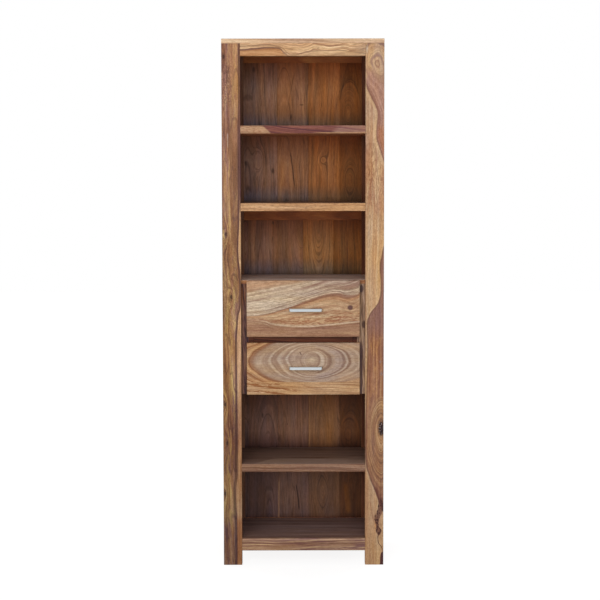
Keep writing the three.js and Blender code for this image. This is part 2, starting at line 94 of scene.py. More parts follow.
class Tree:
    """One material."""

    def __init__(self, name):
        self.material = bpy.data.materials.new(name)
        self.material.use_nodes = True
        self.nodes = self.material.node_tree.nodes
        self.links = self.material.node_tree.links
        self.shader = self.nodes["Principled BSDF"]

    def add(self, kind, **settings):
        made = self.nodes.new(kind)
        for key, value in settings.items():
            setattr(made, key, value)
        return made

    def put(self, socket, value):
        if isinstance(value, Term):
            self.links.new(value.socket, socket)
        else:
            socket.default_value = value

    def math(self, name, *inputs):
        made = self.add("ShaderNodeMath", operation=name)
        for socket, value in zip(made.inputs, inputs):
            self.put(socket, value)
        return Term(self, made.outputs[0])

    def least(self, a, b):
        return self.math("MINIMUM", a, b)

    def most(self, a, b):
        return self.math("MAXIMUM", a, b)

    def root(self, value):
        return self.math("SQRT", value)

    def vector(self, *parts):
        made = self.add("ShaderNodeCombineXYZ")
        for socket, value in zip(made.inputs, parts):
            self.put(socket, value)
        return Term(self, made.outputs[0])

    def between(self, value, low, high, smooth=True):
        """0 at low and below, 1 at high and above; high may be the smaller one."""
        made = self.add("ShaderNodeMapRange")
        made.interpolation_type = "SMOOTHSTEP" if smooth else "LINEAR"
        for socket, given in zip(made.inputs, (value, low, high)):
            self.put(socket, given)
        return Term(self, made.outputs[0])

    def near(self, value, place, reach):
        """1 close to a place, 0 further from it than reach."""
        return self.between(abs(value - place), reach, reach * 0.6)

    def noise(self, x, y=0.0, z=0.0, detail=2.0, rough=0.5):
        made = self.add("ShaderNodeTexNoise")
        self.put(made.inputs["Vector"], self.vector(x, y, z))
        made.inputs["Scale"].default_value = 1
        made.inputs["Detail"].default_value = detail
        made.inputs["Roughness"].default_value = rough
        return Term(self, made.outputs[0])

    def curve(self, value, points):
        """A line through points, from a share along to a value."""
        low = min(y for _, y in points)
        high = max(y for _, y in points)
        made = self.add("ShaderNodeFloatCurve")
        self.put(made.inputs["Value"], value)
        line = made.mapping.curves[0]
        while len(line.points) < len(points):
            line.points.new(0.5, 0.5)
        for point, (x, y) in zip(line.points, sorted(points)):
            point.location = (x, (y - low) / (high - low))
        made.mapping.update()
        return Term(self, made.outputs[0]) * (high - low) + low

    def ramp(self, value, tones, places=None, steps=False):
        """Tones over 0 to 1, evenly spaced or at their places; steps has no blends."""
        made = self.add("ShaderNodeValToRGB")
        ramp = made.color_ramp
        places = places or [i / (len(tones) - 1) for i in range(len(tones))]
        if steps:
            ramp.interpolation = "CONSTANT"
        while len(ramp.elements) < len(tones):
            ramp.elements.new(1)
        for element, place, tone in zip(ramp.elements, places, tones):
            element.position = place
            element.color = linear(tone)
        self.put(made.inputs[0], value)
        return Term(self, made.outputs[0])

    def mix(self, share, a, b, blend="MIX"):
        made = self.add("ShaderNodeMix", data_type="RGBA", blend_type=blend)
        self.put(made.inputs[0], share)
        for socket, value in zip(made.inputs[6:8], (a, b)):
            self.put(socket, value if isinstance(value, Term) else linear(value))
        return Term(self, made.outputs[2])

    def times(self, a, b):
        """A colour times a colour."""
        return self.mix(1.0, a, b, "MULTIPLY")


class Wood(Tree):
    """The wood of one board. u runs along its grain, v across its face and w into it."""

    def __init__(self, node, along, across, seed, span=None):
        super().__init__(node)
        low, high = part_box(node)
        if span:
            low[along], high[along] = span
        size = high - low
        coordinates = self.add("ShaderNodeTexCoord").outputs["Object"]
        split = self.add("ShaderNodeSeparateXYZ")
        self.links.new(coordinates, split.inputs[0])
        place = [Term(self, socket) - low[i] for i, socket in enumerate(split.outputs)]
        into = 3 - along - across
        self.u, self.v, self.w = place[along], place[across], place[into]
        self.length, self.width, self.thick = size[along], size[across], size[into]
        self.su, self.sv = self.u / self.length, self.v / self.width
        self.seed = seed * 7.31
        self.node = node
        # slow wander of the grain
        self.wander = self.noise(self.u * 3.5, self.v * 9, self.w * 9 + self.seed, 3) - 0.5

    def rings(self, pith, tilt=0.06, wander=0.02, bumps=()):
        """Distance from the pith. pith is where it passes, across and into the board."""
        across = self.v - pith[0] + self.wander * wander
        into = self.w - pith[1] + (self.u - self.length / 2) * tilt
        distance = self.root(across * across + into * into)
        for su, sv, reach_u, reach_v, push in bumps:
            distance = distance + self.spot(su, sv, reach_u, reach_v) * push
        return distance

    def spot(self, su, sv, reach_u, reach_v):
        """1 at a place on the face, fading out over a length each way."""
        du = (self.su - su) * (self.length / reach_u)
        dv = (self.sv - sv) * (self.width / reach_v)
        return self.math("EXPONENT", (du * du + dv * dv) * -1.0)

    def bands(self, distance, spacing, run=1.2, contrast=1.0):
        """Uneven light and dark rings, 0 to 1."""
        wide = self.noise(distance / spacing, self.u * run, self.seed, 1.5, 0.6)
        fine = self.noise(distance * 2.7 / spacing, self.u * run * 2, self.seed + 5, 1)
        both = wide * 0.62 + fine * 0.38
        return self.between(both, 0.5 - 0.15 / contrast, 0.5 + 0.15 / contrast, False)

    def veins(self, distance, spacing, run=2.0, width=0.03):
        """Thin dark lines that follow the rings."""
        level = self.noise(distance / spacing, self.u * run, self.seed + 11, 1.5)
        return self.between(abs(level - 0.5), width, width * 0.2)

    def stroke(self, offset, width, soft=0.6):
        """1 on a line where offset is zero, over a width."""
        return self.between(abs(offset), width * (0.5 + soft), width * (0.5 - soft / 2))

    def stain(self, colour, tones, places=None):
        """A colour that changes along the board, by shares of it."""
        return self.times(colour, self.ramp(self.su, tones, places))

    def pored(self, colour, share, tone, dense=0.52):
        """Open pores, drawn out along the grain, over a share of the colour."""
        pore = self.noise(self.u * 70, self.v * 300, self.w * 300 + self.seed, 1)
        return self.mix(self.between(pore, dense, dense + 0.1) * share * 0.7, colour, tone)

    def finish(self, colour, mottle=0.6, fibre=0.6, grit=0.6, hue=0.5, speck=0.25):
        """Patches, fibre, dashes, specks and a drift of hue, then gloss and relief."""
        cloud = self.noise(self.u * 7, self.v * 35, self.w * 30 + self.seed, 3, 0.6) - 0.5
        strand = self.noise(self.u * 9, self.v * 190, self.w * 190 + self.seed, 3, 0.65) - 0.5
        dash = self.noise(self.u * 60, self.v * 260, self.w * 260 + self.seed, 2, 0.6) - 0.5
        drift = self.noise(self.u * 5, self.v * 28, self.w * 30 + self.seed + 40, 3, 0.6) - 0.5
        speckle = self.noise(self.u * 210, self.v * 330, self.w * 330 + self.seed, 1) - 0.5
        shade = cloud * mottle + strand * fibre + dash * grit + speckle * speck
        warm = drift * hue
        light = self.vector(1 + shade * 0.85 + warm * 0.3, 1 + shade, 1 + shade * 1.15 - warm * 0.8)
        self.put(self.shader.inputs["Base Color"], self.times(colour, light))
        self.put(self.shader.inputs["Roughness"], 0.5 + strand * 0.2 + dash * 0.2)
        self.shader.inputs["Specular IOR Level"].default_value = 0.22
        bump = self.add("ShaderNodeBump")
        bump.inputs["Strength"].default_value = 0.5
        bump.inputs["Distance"].default_value = 0.0006
        self.put(bump.inputs["Height"], strand * 0.6 + dash)
        self.links.new(bump.outputs[0], self.shader.inputs["Normal"])
        dress(self.node, self.material)


def dress(node, material):
    slots = nodes[node].data.materials
    slots.clear()
    slots.append(material)


# Front posts

PALE = ("b68762", "c5976d", "cfa87c", "dab68e")
HEART = ("714939", "8e5f48", "a37356", "b68965")


def flank(wood, colour, outer):
    """Calm straight grain on a post's outer side, behind its front face."""
    straight = wood.noise(wood.w * 170 + wood.wander * 4, wood.u * 1.5, wood.seed, 2)
    tones = wood.ramp(wood.between(straight, 0.3, 0.7, False), HEART)
    return wood.mix(wood.between(wood.w, 0.003, 0.012) * outer, colour, tones)


def left_front_post():
    wood = Wood("front_left_post", Z, X, 3)
    knots = [
        (0.313, 0.11), (0.238, 0.21), (0.640, 0.20), (0.975, 0.12), (0.140, 0.08), (0.520, 0.47),
    ]
    bumps = [(su, sv, 0.035, 0.010, 0.010) for su, sv in knots]
    rings = wood.rings((0.045, 0.055), 0.010, 0.034, bumps)
    pattern = wood.bands(rings, 0.007, 2.6, 1.2)
    gold = wood.ramp(pattern, ("906646", "b08559", "caa369", "dfbd80"))
    plum = wood.ramp(pattern, ("603e45", "7b5656", "966d67", "ad8375"))
    brown = wood.ramp(pattern, ("7e5039", "9a664b", "b3825e", "ca9a71"))
    # how golden the left and the right of the face are, from the foot up
    left = [(0, 0.15), (0.06, 0.1), (0.10, 0.7), (0.16, 0.6), (0.22, 0.5), (0.30, 0.65),
            (0.36, 0.95), (0.5, 0.95), (0.6, 0.8), (0.7, 0.35), (0.82, 0.1), (0.88, 0.2),
            (0.93, 0.35), (1, 0.55)]
    right = [(0, 0.1), (0.1, 0.3), (0.2, 0.35), (0.35, 0.4), (0.5, 0.45), (0.62, 0.7),
             (0.7, 0.65), (0.85, 0.75), (0.93, 0.7), (1, 0.6)]
    side = wood.between(wood.sv, 0.25, 0.55)
    share = wood.curve(wood.su, left) * (1 - side) + wood.curve(wood.su, right) * side
    patch = wood.noise(wood.u * 13, wood.v * 95, wood.w * 40 + 3.7, 4, 0.66)
    colour = wood.mix(wood.between(patch + share * 0.34, 0.58, 0.70) * 0.9, plum, gold)
    earth = wood.noise(wood.u * 9, wood.v * 75, wood.w * 40 + 9.1, 4, 0.6)
    colour = wood.mix(wood.between(earth, 0.42, 0.58) * 0.55 + 0.25, colour, brown)
    colour = wood.mix(wood.veins(rings, 0.006, 6, 0.03) * 0.5, colour, "553637")
    # close wavy figure
    wave = wood.noise(wood.u * 55, wood.v * 130 + wood.u * 30, wood.w * 30, 3, 0.6)
    waves = wood.near(wave, 0.5, 0.045)
    place = wood.near(wood.su, 0.925, 0.05) * wood.between(wood.sv, 0.7, 0.4)
    colour = wood.mix(waves * place * 0.75, colour, "5c3d3e")
    glint = wood.between(wave, 0.60, 0.66) * place
    colour = wood.mix(glint * 0.8, colour, "d0a882")
    colour = wood.mix(waves * wood.near(wood.su, 0.55, 0.14) * 0.4, colour, "6d4a32")
    # dark line, with a strip of sapwood on its right
    edge = [
        (0, 0.70), (0.03, 0.72), (0.09, 0.70), (0.14, 0.64), (0.18, 0.735), (0.34, 0.75),
        (0.4228, 0.745), (0.4576, 0.785), (0.484, 0.84), (0.4994, 0.95), (0.52, 0.98),
        (0.556, 0.97), (0.5835, 0.90), (0.6096, 0.86), (0.641, 0.89), (0.667, 0.92),
        (0.72, 0.93), (0.84, 0.93), (0.86, 0.95), (1, 0.95),
    ]
    offset = wood.sv - wood.curve(wood.su, edge) + wood.wander * 0.04
    calm = wood.between(wood.su, 0.62, 0.72) * 0.25
    colour = wood.mix(calm, colour, "a77b58")
    strip = wood.between(offset, 0.01, 0.04)
    pale = wood.ramp(wood.bands(rings, 0.004, 3), ("a46f55", "bf8a6c", "d4a27d", "dfb08e"))
    colour = wood.mix(strip * wood.between(wood.su, 0.72, 0.66), colour, pale)
    colour = wood.mix(strip * wood.between(wood.su, 0.66, 0.72), colour, "6b4744")
    colour = wood.mix(strip * wood.near(wood.su, 0.62, 0.055) * 0.6, colour, "dcb086")
    bold = wood.between(wood.su, 0.40, 0.22) * 0.05 + 0.07
    colour = wood.mix(wood.between(abs(offset + 0.03), bold, bold * 0.4) * 0.75, colour, "4f3033")
    rust = strip * wood.near(wood.su, 0.045, 0.06)
    colour = wood.mix(rust * 0.7, colour, "a45c2e")
    for su, sv in knots:
        ripple = wood.spot(su, sv, 0.013, 0.006)
        colour = wood.mix(wood.near(ripple, 0.45, 0.2) * 0.4, colour, "5b3c38")
        colour = wood.mix(wood.between(ripple, 0.5, 0.85) * 0.85, colour, "352223")
    scar = wood.stroke(wood.sv - 0.33 + wood.wander * 0.1, 0.035) * wood.near(wood.su, 0.818, 0.016)
    colour = wood.mix(scar * 0.6, colour, "c4aa9a")
    # darker towards the foot, partly the wood's tone and partly painted shade
    colour = wood.stain(
        colour,
        [(0.65, 0.73, 0.74), (0.58, 0.56, 0.48), (0.90, 0.93, 0.85), (1.03, 1.11, 1.07),
         (0.98, 1.02, 1.09), (0.94, 0.86, 0.91)],
    )
    colour = flank(wood, colour, wood.between(wood.sv, 0.5, 0.3))
    wood.finish(colour, 0.7, 0.9, 0.9, 1.0, 0.7)


def right_front_post():
    wood = Wood("front_right_post", Z, X, 11)
    bumps = [(0.08, 0.70, 0.045, 0.012, 0.010), (0.45, 0.2, 0.10, 0.02, -0.008)]
    rings = wood.rings((-0.03, 0.030), 0.012, 0.022, bumps)
    pattern = wood.bands(rings, 0.0085, 1.6, 0.9)
    sap = wood.ramp(pattern, PALE)
    sap = wood.mix(wood.between(wood.sv, 0.45, 0.95) * 0.35, sap, "d4ae84")
    rosy = wood.noise(wood.u * 7, wood.v * 50, 5.5, 3)
    blush = wood.between(rosy, 0.46, 0.62) * wood.near(wood.su, 0.755, 0.10)
    sap = wood.mix(blush * 0.55, sap, "a86d50")
    sap = wood.pored(sap, wood.spot(0.755, 0.45, 0.12, 0.04) * 0.6 + 0.3, "8f5c42")
    sap = wood.stain(
        sap, [1.0, (0.90, 0.94, 1.14), (0.90, 0.94, 1.14), 1.0], [0.76, 0.81, 0.875, 0.92]
    )
    # nested rings round a heart near the top
    churn = wood.noise(wood.u * 26, wood.v * 40, 4.2, 3) - 0.5
    du = (wood.su - 0.962) * wood.length
    rise = wood.most(du / 0.070, du / -0.090)
    lean = wood.least(du, 0) * 0.35
    side = ((wood.sv - 0.61) * wood.width + lean) / 0.043
    nest = wood.root(rise * rise + side * side) + churn * 0.34
    above = wood.ramp(
        nest / 1.25,
        ("d9b48c", "9c6a58", "dab68d", "cfa680", "94706a", "a8826e", "dfbb8f", "d5ac80", "bb9070",
         "dcb386", "a87c66", "cca57a"),
        (0, 0.10, 0.17, 0.25, 0.32, 0.39, 0.46, 0.58, 0.67, 0.76, 0.88, 0.97),
    )
    below = wood.ramp(
        nest / 1.25,
        ("d9b48c", "a06e5a", "d6b18a", "cba27e", "a98067", "c49a7a", "ab7e66", "bf9373", "a57560",
         "b8896f"),
        (0, 0.10, 0.18, 0.30, 0.38, 0.50, 0.60, 0.72, 0.82, 0.97),
    )
    half = wood.between(wood.su - wood.sv * 0.012, 0.942, 0.960)
    loops = wood.mix(half, below, above)
    curls = wood.near(wood.noise(nest * 8, wood.u * 9, 2.2, 2), 0.5, 0.045)
    loops = wood.mix(0.28, wood.mix(curls * 0.4, loops, "8c6050"), "cda582")
    colour = wood.mix(wood.between(nest, 1.28, 1.05), sap, loops)
    roof = wood.stroke(nest - 1.16 + wood.sv * 0.16, 0.12) * half
    colour = wood.mix(roof * 0.6, colour, "775354")
    # a painted highlight on the post's left edge near its top
    colour = wood.mix(wood.spot(0.989, 0.07, 0.012, 0.003) * 0.7, colour, "dccfbf")
    # pinkish heartwood below them, right of a wavering edge and lined along it
    upper = [
        (0, 1.2), (0.75, 1.2), (0.775, 0.99), (0.784, 0.913), (0.7976, 0.785), (0.8117, 0.656),
        (0.829, 0.565), (0.8395, 0.58), (0.8517, 0.605), (0.864, 0.63), (0.878, 0.55),
        (0.8935, 0.35), (0.909, 0.14), (0.920, 0.03), (0.930, 0.0), (0.940, 0.1),
        (0.952, 0.6), (0.964, 1.2), (1, 1.3),
    ]
    offset = wood.sv - wood.curve(wood.su, upper) + wood.wander * 0.04
    around = wood.between(wood.su, 0.880, 0.925)
    lined = offset * wood.width * (1 - around) + (0.07 - nest * 0.040) * around + wood.u * 0.03
    pink = wood.ramp(
        wood.bands(lined, 0.0045, 1.2, 0.9), ("9a6d5b", "aa7e6b", "ba8d79", "c89d86")
    )
    soft = wood.between(wood.su, 0.925, 0.945) * 0.25
    clear = 1 - around * wood.between(nest, 0.95, 0.45)
    colour = wood.mix(wood.between(offset, -0.02 - soft, 0.03 + soft) * clear, colour, pink)
    outer = wood.curve(wood.su, [(0, 0), (0.915, 0), (0.935, 1), (1, 1)])
    colour = wood.mix(wood.stroke(offset - 0.03, 0.08) * (1 - outer) * 0.6, colour, "74463c")
    colour = wood.mix(wood.stroke(offset + 0.07, 0.12) * (1 - outer) * 0.45, colour, "e2bd94")
    flame = wood.stroke(offset - 0.24, 0.22) * wood.near(wood.su, 0.815, 0.035)
    colour = wood.mix(flame * 0.5, colour, "b9764e")
    # reddish heartwood of the middle, right of a line that bulges to the left
    middle = [
        (0, 1.2), (0.098, 1.1), (0.1058, 0.95), (0.1198, 0.78), (0.1337, 0.655), (0.151, 0.48),
        (0.165, 0.31), (0.177, 0.214), (0.198, 0.058), (0.22, 0.02), (0.26, 0.03),
        (0.32, 0.06), (0.385, 0.10), (0.4275, 0.12), (0.47, 0.10), (0.48, 0.173),
        (0.491, 0.321), (0.5015, 0.565), (0.516, 0.77), (0.533, 0.84), (0.555, 0.83),
        (0.576, 0.79), (0.595, 0.87), (0.612, 0.95), (0.625, 1.062), (0.66, 1.2), (1, 1.2),
    ]
    offset = wood.sv - wood.curve(wood.su, middle) + wood.wander * 0.04
    heart = wood.ramp(wood.bands(rings, 0.007, 2.2, 1.0), HEART)
    wisps = wood.noise(wood.u * 16, wood.v * 70, 6.1, 3, 0.6)
    heart = wood.mix(wood.between(wisps, 0.54, 0.66) * 0.45, heart, "c4915c")
    heart = wood.mix(wood.between(wisps, 0.46, 0.36) * 0.5, heart, "7c5248")
    dusk = wood.between(wood.su, 0.425, 0.47) * 0.65
    heart = wood.mix(dusk, heart, wood.ramp(pattern, ("6e4a44", "85605a", "9a766a")))
    # arches round the knot, pointed below it
    tall = wood.most(wood.su - 0.266, 0) * (wood.length / 0.088)
    deep = wood.least(wood.su - 0.266, 0) * (wood.length / -0.150)
    girdle = 0.036 + wood.between(wood.su, 0.27, 0.20) * 0.018
    wide = abs(wood.sv - 0.87) * wood.width / girdle
    arch = tall**1.8 + deep**1.35 + wide**1.6 + churn * 0.16
    rings_here = wood.noise(arch * 7.5, wood.u * 4, 8.1, 2, 0.6)
    loops = wood.ramp(
        wood.between(rings_here, 0.32, 0.66, False), ("7d5640", "9d6f50", "b78a5f", "c79e70")
    )
    reach = wood.between(arch, 1.8, 1.1)
    heart = wood.mix(reach * 0.8, heart, loops)
    thin = wood.noise(arch * 13, wood.u * 4, 3.9, 1)
    heart = wood.mix(wood.near(thin, 0.5, 0.05) * reach * 0.5, heart, "674738")
    heart = wood.mix(wood.between(thin, 0.60, 0.68) * reach * 0.45, heart, "d9b68e")
    colour = wood.mix(wood.between(offset, -0.01, 0.04), colour, heart)
    colour = wood.mix(wood.stroke(offset, 0.07) * 0.7, colour, "613a32")
    colour = wood.mix(wood.stroke(offset + 0.06, 0.06) * 0.4, colour, "e0bb92")
    wedge = wood.between(offset, 0.26, 0.05) * wood.between(offset, -0.02, 0.02)
    colour = wood.mix(wedge * wood.near(wood.su, 0.125, 0.035) * 0.8, colour, "633730")
    # a bark line goes on down from its tip
    trail = [(0, 0.99), (0.0258, 0.96), (0.0396, 0.80), (0.0536, 0.70), (0.0606, 0.755),
             (0.0675, 0.73), (0.0779, 0.655), (0.0884, 0.63), (0.0953, 0.70), (0.1127, 0.84),
             (0.13, 0.9), (1, 0.9)]
    bark = abs(wood.sv - wood.curve(wood.su, trail) + wood.wander * 0.1)
    girth = wood.curve(
        wood.su,
        [(0, 0.02), (0.055, 0.025), (0.0675, 0.19), (0.076, 0.10), (0.0884, 0.15),
         (0.105, 0.20), (0.118, 0.20), (0.14, 0.08), (1, 0)],
    )
    glow = wood.spot(0.080, 0.60, 0.028, 0.006)
    colour = wood.mix(glow * 0.7, colour, "c98442")
    blot = wood.noise(wood.u * 110, wood.v * 170, 3.3, 2)
    ragged = girth * (0.6 + blot * 0.8)
    line = wood.between(bark, ragged, ragged * 0.6) * wood.between(wood.su, 0.135, 0.12)
    colour = wood.mix(line * 0.85, colour, "6a4034")
    colour = wood.mix(line * wood.between(blot, 0.50, 0.56) * 0.85, colour, "3c211d")
    crack = wood.stroke(wood.sv - 0.36 + (wood.su - 0.105) * 5, 0.05)
    colour = wood.mix(crack * wood.near(wood.su, 0.105, 0.024) * 0.5, colour, "9a5f3c")
    corner = [(0, 0.80), (0.0187, 0.83), (0.0258, 0.93), (0.032, 1.1), (1, 1.1)]
    offset = wood.sv - wood.curve(wood.su, corner)
    colour = wood.mix(wood.between(offset, -0.01, 0.03), colour, "53302f")
    # the knot itself, with bark in it
    core = wood.spot(0.266, 0.88, 0.029, 0.012)
    grit = wood.noise(wood.u * 150, wood.v * 190, 0, 2)
    colour = wood.mix(wood.between(core, 0.25, 0.7) * 0.7, colour, "4a2c2c")
    colour = wood.mix(wood.between(core * grit, 0.16, 0.34), colour, "241416")
    colour = wood.mix(wood.between(core, 0.2, 0.5) * wood.between(grit, 0.60, 0.66), colour, "b39a90")
    for su, sv, reach in [(0.372, 0.88, 0.004), (0.395, 0.82, 0.003)]:
        colour = wood.mix(wood.spot(su, sv, reach * 1.6, reach) * 0.7, colour, "8d7f80")
    # darker towards the foot, partly the wood's tone and partly painted shade
    colour = wood.stain(
        colour, [(0.84, 0.85, 0.89), (0.90, 0.91, 0.94), 1.0, 1.0], [0, 0.16, 0.22, 1]
    )
    colour = flank(wood, colour, wood.between(wood.sv, 0.5, 0.7))
    wood.finish(colour, 0.5, 0.45, 0.6, 0.9, 0.7)


# Rails


def front_top_rail():
    wood = Wood("front_top_rail", X, Z, 21, BETWEEN)
    waves = wood.noise(wood.u * 11, 1.5, 0, 3) - 0.5
    rings = wood.v + waves * 0.040 + wood.wander * 0.03
    # pale tones, partly the wood's and partly painted light, as the case is brighter at the top
    tones = ("a77b5e", "c69973", "deb388", "eec99b", "f7d7ae")
    colour = wood.ramp(wood.bands(rings, 0.006, 4), tones)
    colour = wood.mix(wood.veins(rings, 0.008, 6, 0.022) * 0.5, colour, "7a5244")
    lower = [(0, 0.45), (0.065, 0.49), (0.129, 0.57), (0.25, 0.66), (0.30, 0.63), (0.345, 0.3),
             (0.375, 0.1), (0.38, 0), (1, 0)]
    offset = wood.sv - wood.curve(wood.su, lower) + wood.wander * 0.2
    left = wood.between(wood.su, 0.40, 0.37)
    colour = wood.mix(wood.between(offset, 0.0, -0.06) * left * 0.7, colour, "b97f50")
    colour = wood.mix(wood.stroke(offset, 0.10) * left * 0.75, colour, "64413f")
    upper = [(0, 0.75), (0.1, 0.8), (0.2, 0.88), (0.3, 0.74), (0.34, 0.62), (0.38, 0.25),
             (0.42, 0.12), (0.54, 0.4), (0.66, 0.43), (0.78, 0.44), (0.9, 0.32), (1, 0.18)]
    offset = wood.sv - wood.curve(wood.su, upper) + wood.wander * 0.25
    right = wood.between(wood.su, 0.33, 0.38)
    colour = wood.mix(wood.between(offset, 0.02, -0.12) * right * 0.45, colour, "c39c78")
    colour = wood.mix(wood.stroke(offset, 0.07) * 0.6, colour, "7a5240")
    # a painted highlight at the rail's right end, by the post
    colour = wood.mix(wood.spot(0.99, 0.45, 0.03, 0.016) * 0.5, colour, "a58a75")
    wood.finish(colour, 0.5, 0.7, 0.8, 0.5)


def front_bottom_rail():
    wood = Wood("front_bottom_rail", X, Z, 22, BETWEEN)
    rings = wood.rings((-0.05, 0.03), 0.035, 0.035)
    # darker tones, partly the wood's and partly painted shade at the foot of the case
    tones = ("724d43", "946f58", "af8b6d", "c1a27c")
    colour = wood.ramp(wood.bands(rings, 0.006, 2.5), tones)
    streak = wood.noise(wood.u * 8, wood.v * 130, 2.2, 3, 0.6)
    fade = wood.between(wood.su, 0.1, 0.6)
    colour = wood.mix(wood.between(streak, 0.5, 0.58) * (fade * 0.4 + 0.3), colour, "684046")
    # a painted highlight along the rail's top edge
    colour = wood.mix(wood.stroke(wood.sv - 0.92, 0.09) * 0.4, colour, "c8a08c")
    wood.finish(colour, 0.6, 0.8, 0.7, 0.6)


def rear_rail(node, seed):
    wood = Wood(node, X, Z, seed)
    rings = wood.rings((wood.width * 0.3, 0.05), 0.05, 0.04)
    tones = ("653920", "7f4526", "955931", "a66d3d")
    wood.finish(wood.ramp(wood.bands(rings, 0.008, 2, 0.7), tones), 0.7, 0.6, 0.6, 0.5)


# Shelves

# Shelf tops are darker and greyer than the edges, partly their wood and partly painted shade and sheen.
# The low shelves' dark edges are partly their wood and partly painted shade at the foot of the case.
# The undersides take a warm tone of painted bounce light.
SHELF_TOP = ("64493a", "7c5e4d", "90705d", "a2826d")
DARK_EDGE = ("644334", "805e4a", "99755e", "ae8b73")
UNDERSIDE_PAINTED_BOUNCE = "b97a55"


def lipped(wood, edge, top, under):
    """The front edge of a board in one colour, its top in another, and its foot in a third, which the
    callers give as painted bounce light.
    """
    foot = wood.between(wood.w, 0.0012, 0.0004)
    return wood.mix(wood.between(wood.v, 0.0004, 0.0012), edge, wood.mix(foot, top, under))


def shelf_top(wood, tones, depth=(1.22, 1.0, 0.72), fore=0.0):
    """The rings run out of the top in long ovals. depth is painted shade that darkens it to the back,
    and fore how strongly a paler stave shows along its front, from the left on."""
    rings = wood.rings((wood.width * 0.35, 0.012), 0.06, 0.05)
    colour = wood.ramp(wood.bands(rings, 0.009, 1.4), tones)
    colour = wood.mix(wood.veins(rings, 0.012, 2, 0.03) * 0.35, colour, tones[0])
    patch = wood.noise(wood.u * 6, wood.v * 16, wood.seed, 3, 0.6)
    colour = wood.mix(wood.between(patch, 0.45, 0.6) * 0.5, colour, tones[2])
    reach = wood.between(wood.su, 0.02, 0.30) * 0.36 + wood.wander * 0.2
    colour = wood.mix(wood.between(wood.sv, reach, reach - 0.08) * fore, colour, "b39684")
    # painted shade, darker towards the back
    return wood.times(colour, wood.ramp(wood.sv, depth))


def upper_shelf():
    wood = Wood("upper_shelf", X, Y, 31, BETWEEN)
    rings = wood.rings((0.06, 0.07), 0.02, 0.04)
    edge = wood.su - 0.20 + (wood.w / wood.thick - 0.5) * 0.07 + wood.wander * 0.04
    slant = wood.w + wood.u * 0.13 + wood.wander * 0.03
    purple = wood.ramp(
        wood.bands(slant, 0.008, 1.0, 1.3), ("5c3437", "774641", "915b4d", "aa7259")
    )
    end = wood.between(wood.su - (wood.w / wood.thick) * 0.06, 0.70, 0.76)
    mauve = wood.ramp(wood.bands(slant, 0.005, 2, 1.3), ("83585a", "a67e70", "c8a288"))
    purple = wood.mix(end * 0.45, purple, mauve)
    low_line = wood.between(wood.w / wood.thick, 0.22, 0.08) * wood.between(wood.su, 0.55, 0.68)
    purple = wood.mix(low_line * 0.6, purple, "cfa272")
    sap = wood.ramp(wood.bands(rings, 0.006, 1.5), ("a27d61", "bb9373", "cfad88"))
    sap = wood.pored(sap, 0.8, "94533f")
    colour = wood.mix(wood.between(edge, 0.0, 0.02), sap, purple)
    colour = lipped(wood, colour, shelf_top(wood, SHELF_TOP), UNDERSIDE_PAINTED_BOUNCE)
    wood.finish(colour, 0.5, 0.5, 0.9, 0.5)


def shelf(node, seed, tones, top=SHELF_TOP, **shades):
    wood = Wood(node, X, Y, seed, BETWEEN)
    layer = wood.w + wood.u * 0.01 + wood.wander * 0.03
    edge = wood.ramp(wood.bands(layer, 0.006, 1.6), tones)
    edge = wood.mix(wood.veins(layer, 0.006, 3) * 0.3, edge, "6b4638")
    edge = wood.pored(edge, 0.5, "7c4c38")
    colour = lipped(wood, edge, shelf_top(wood, top, **shades), UNDERSIDE_PAINTED_BOUNCE)
    wood.finish(colour, 0.5, 0.7, 0.8, 0.5)


# Drawer case


# dark tones of the rail between the drawers, partly its wood and partly painted shadow of the upper
# drawer front
RAIL_IN_PAINTED_SHADOW = ("2d150e", "412014", "542c1d", "6a3e28")


def stile(node, seed, tones, glint, streak, streak_place, marks=()):
    wood = Wood(node, Z, X, seed)
    rings = wood.rings((0.02, 0.05), 0.04, 0.03)
    colour = wood.ramp(wood.bands(rings, 0.004, 3, 1.2), tones)
    line = wood.noise(wood.u * 14, wood.v * 110, 2.9, 3)
    patch = wood.between(line, 0.46, 0.58) * wood.near(wood.su, *streak_place)
    colour = wood.mix(patch * 0.85, colour, streak)
    split = wood.noise(wood.u * 8, wood.v * 160 + wood.u * 12, 7.7, 3, 0.6)
    colour = wood.mix(wood.between(split, 0.48, 0.42) * 0.8, colour, tones[0])
    colour = wood.mix(wood.between(split, 0.53, 0.58) * 0.8, colour, glint)
    for su, sv, reach_u, reach_v, tone in marks:
        mark = wood.spot(su, sv + wood.wander * 0.2, reach_u, reach_v)
        colour = wood.mix(wood.between(mark, 0.3, 0.7) * 0.85, colour, tone)
    # between the fronts the stile takes the rail's dark tones, which are partly painted shadow of the
    # upper drawer front
    low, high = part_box(node)
    under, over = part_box("lower_drawer_front"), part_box("upper_drawer_front")
    middle = (under[1].z + over[0].z) / 2 - low.z
    rail_tone_painted_shadow = wood.near(wood.u, middle, (over[0].z - under[1].z) * 0.75)
    if low.x < 0:
        rail_tone_painted_shadow = rail_tone_painted_shadow * wood.between(wood.v, under[0].x - low.x + 0.005, under[0].x - low.x + 0.006)
    else:
        rail_tone_painted_shadow = rail_tone_painted_shadow * wood.between(wood.v, under[1].x - low.x - 0.008, under[1].x - low.x - 0.009)
    colour = wood.mix(rail_tone_painted_shadow, colour, wood.ramp(wood.bands(wood.u, 0.005, 2), RAIL_IN_PAINTED_SHADOW))
    wood.finish(colour, 0.9, 0.8, 0.9, 0.6)


def drawer_rail():
    wood = Wood("drawer_rail", X, Z, 38)
    rings = wood.rings((0.05, 0.04), 0.05, 0.04)
    # the rail's dark tones hold painted shadow of the upper drawer front
    wood.finish(wood.ramp(wood.bands(rings, 0.005, 2), RAIL_IN_PAINTED_SHADOW), 0.8, 0.9, 0.8, 0.6)


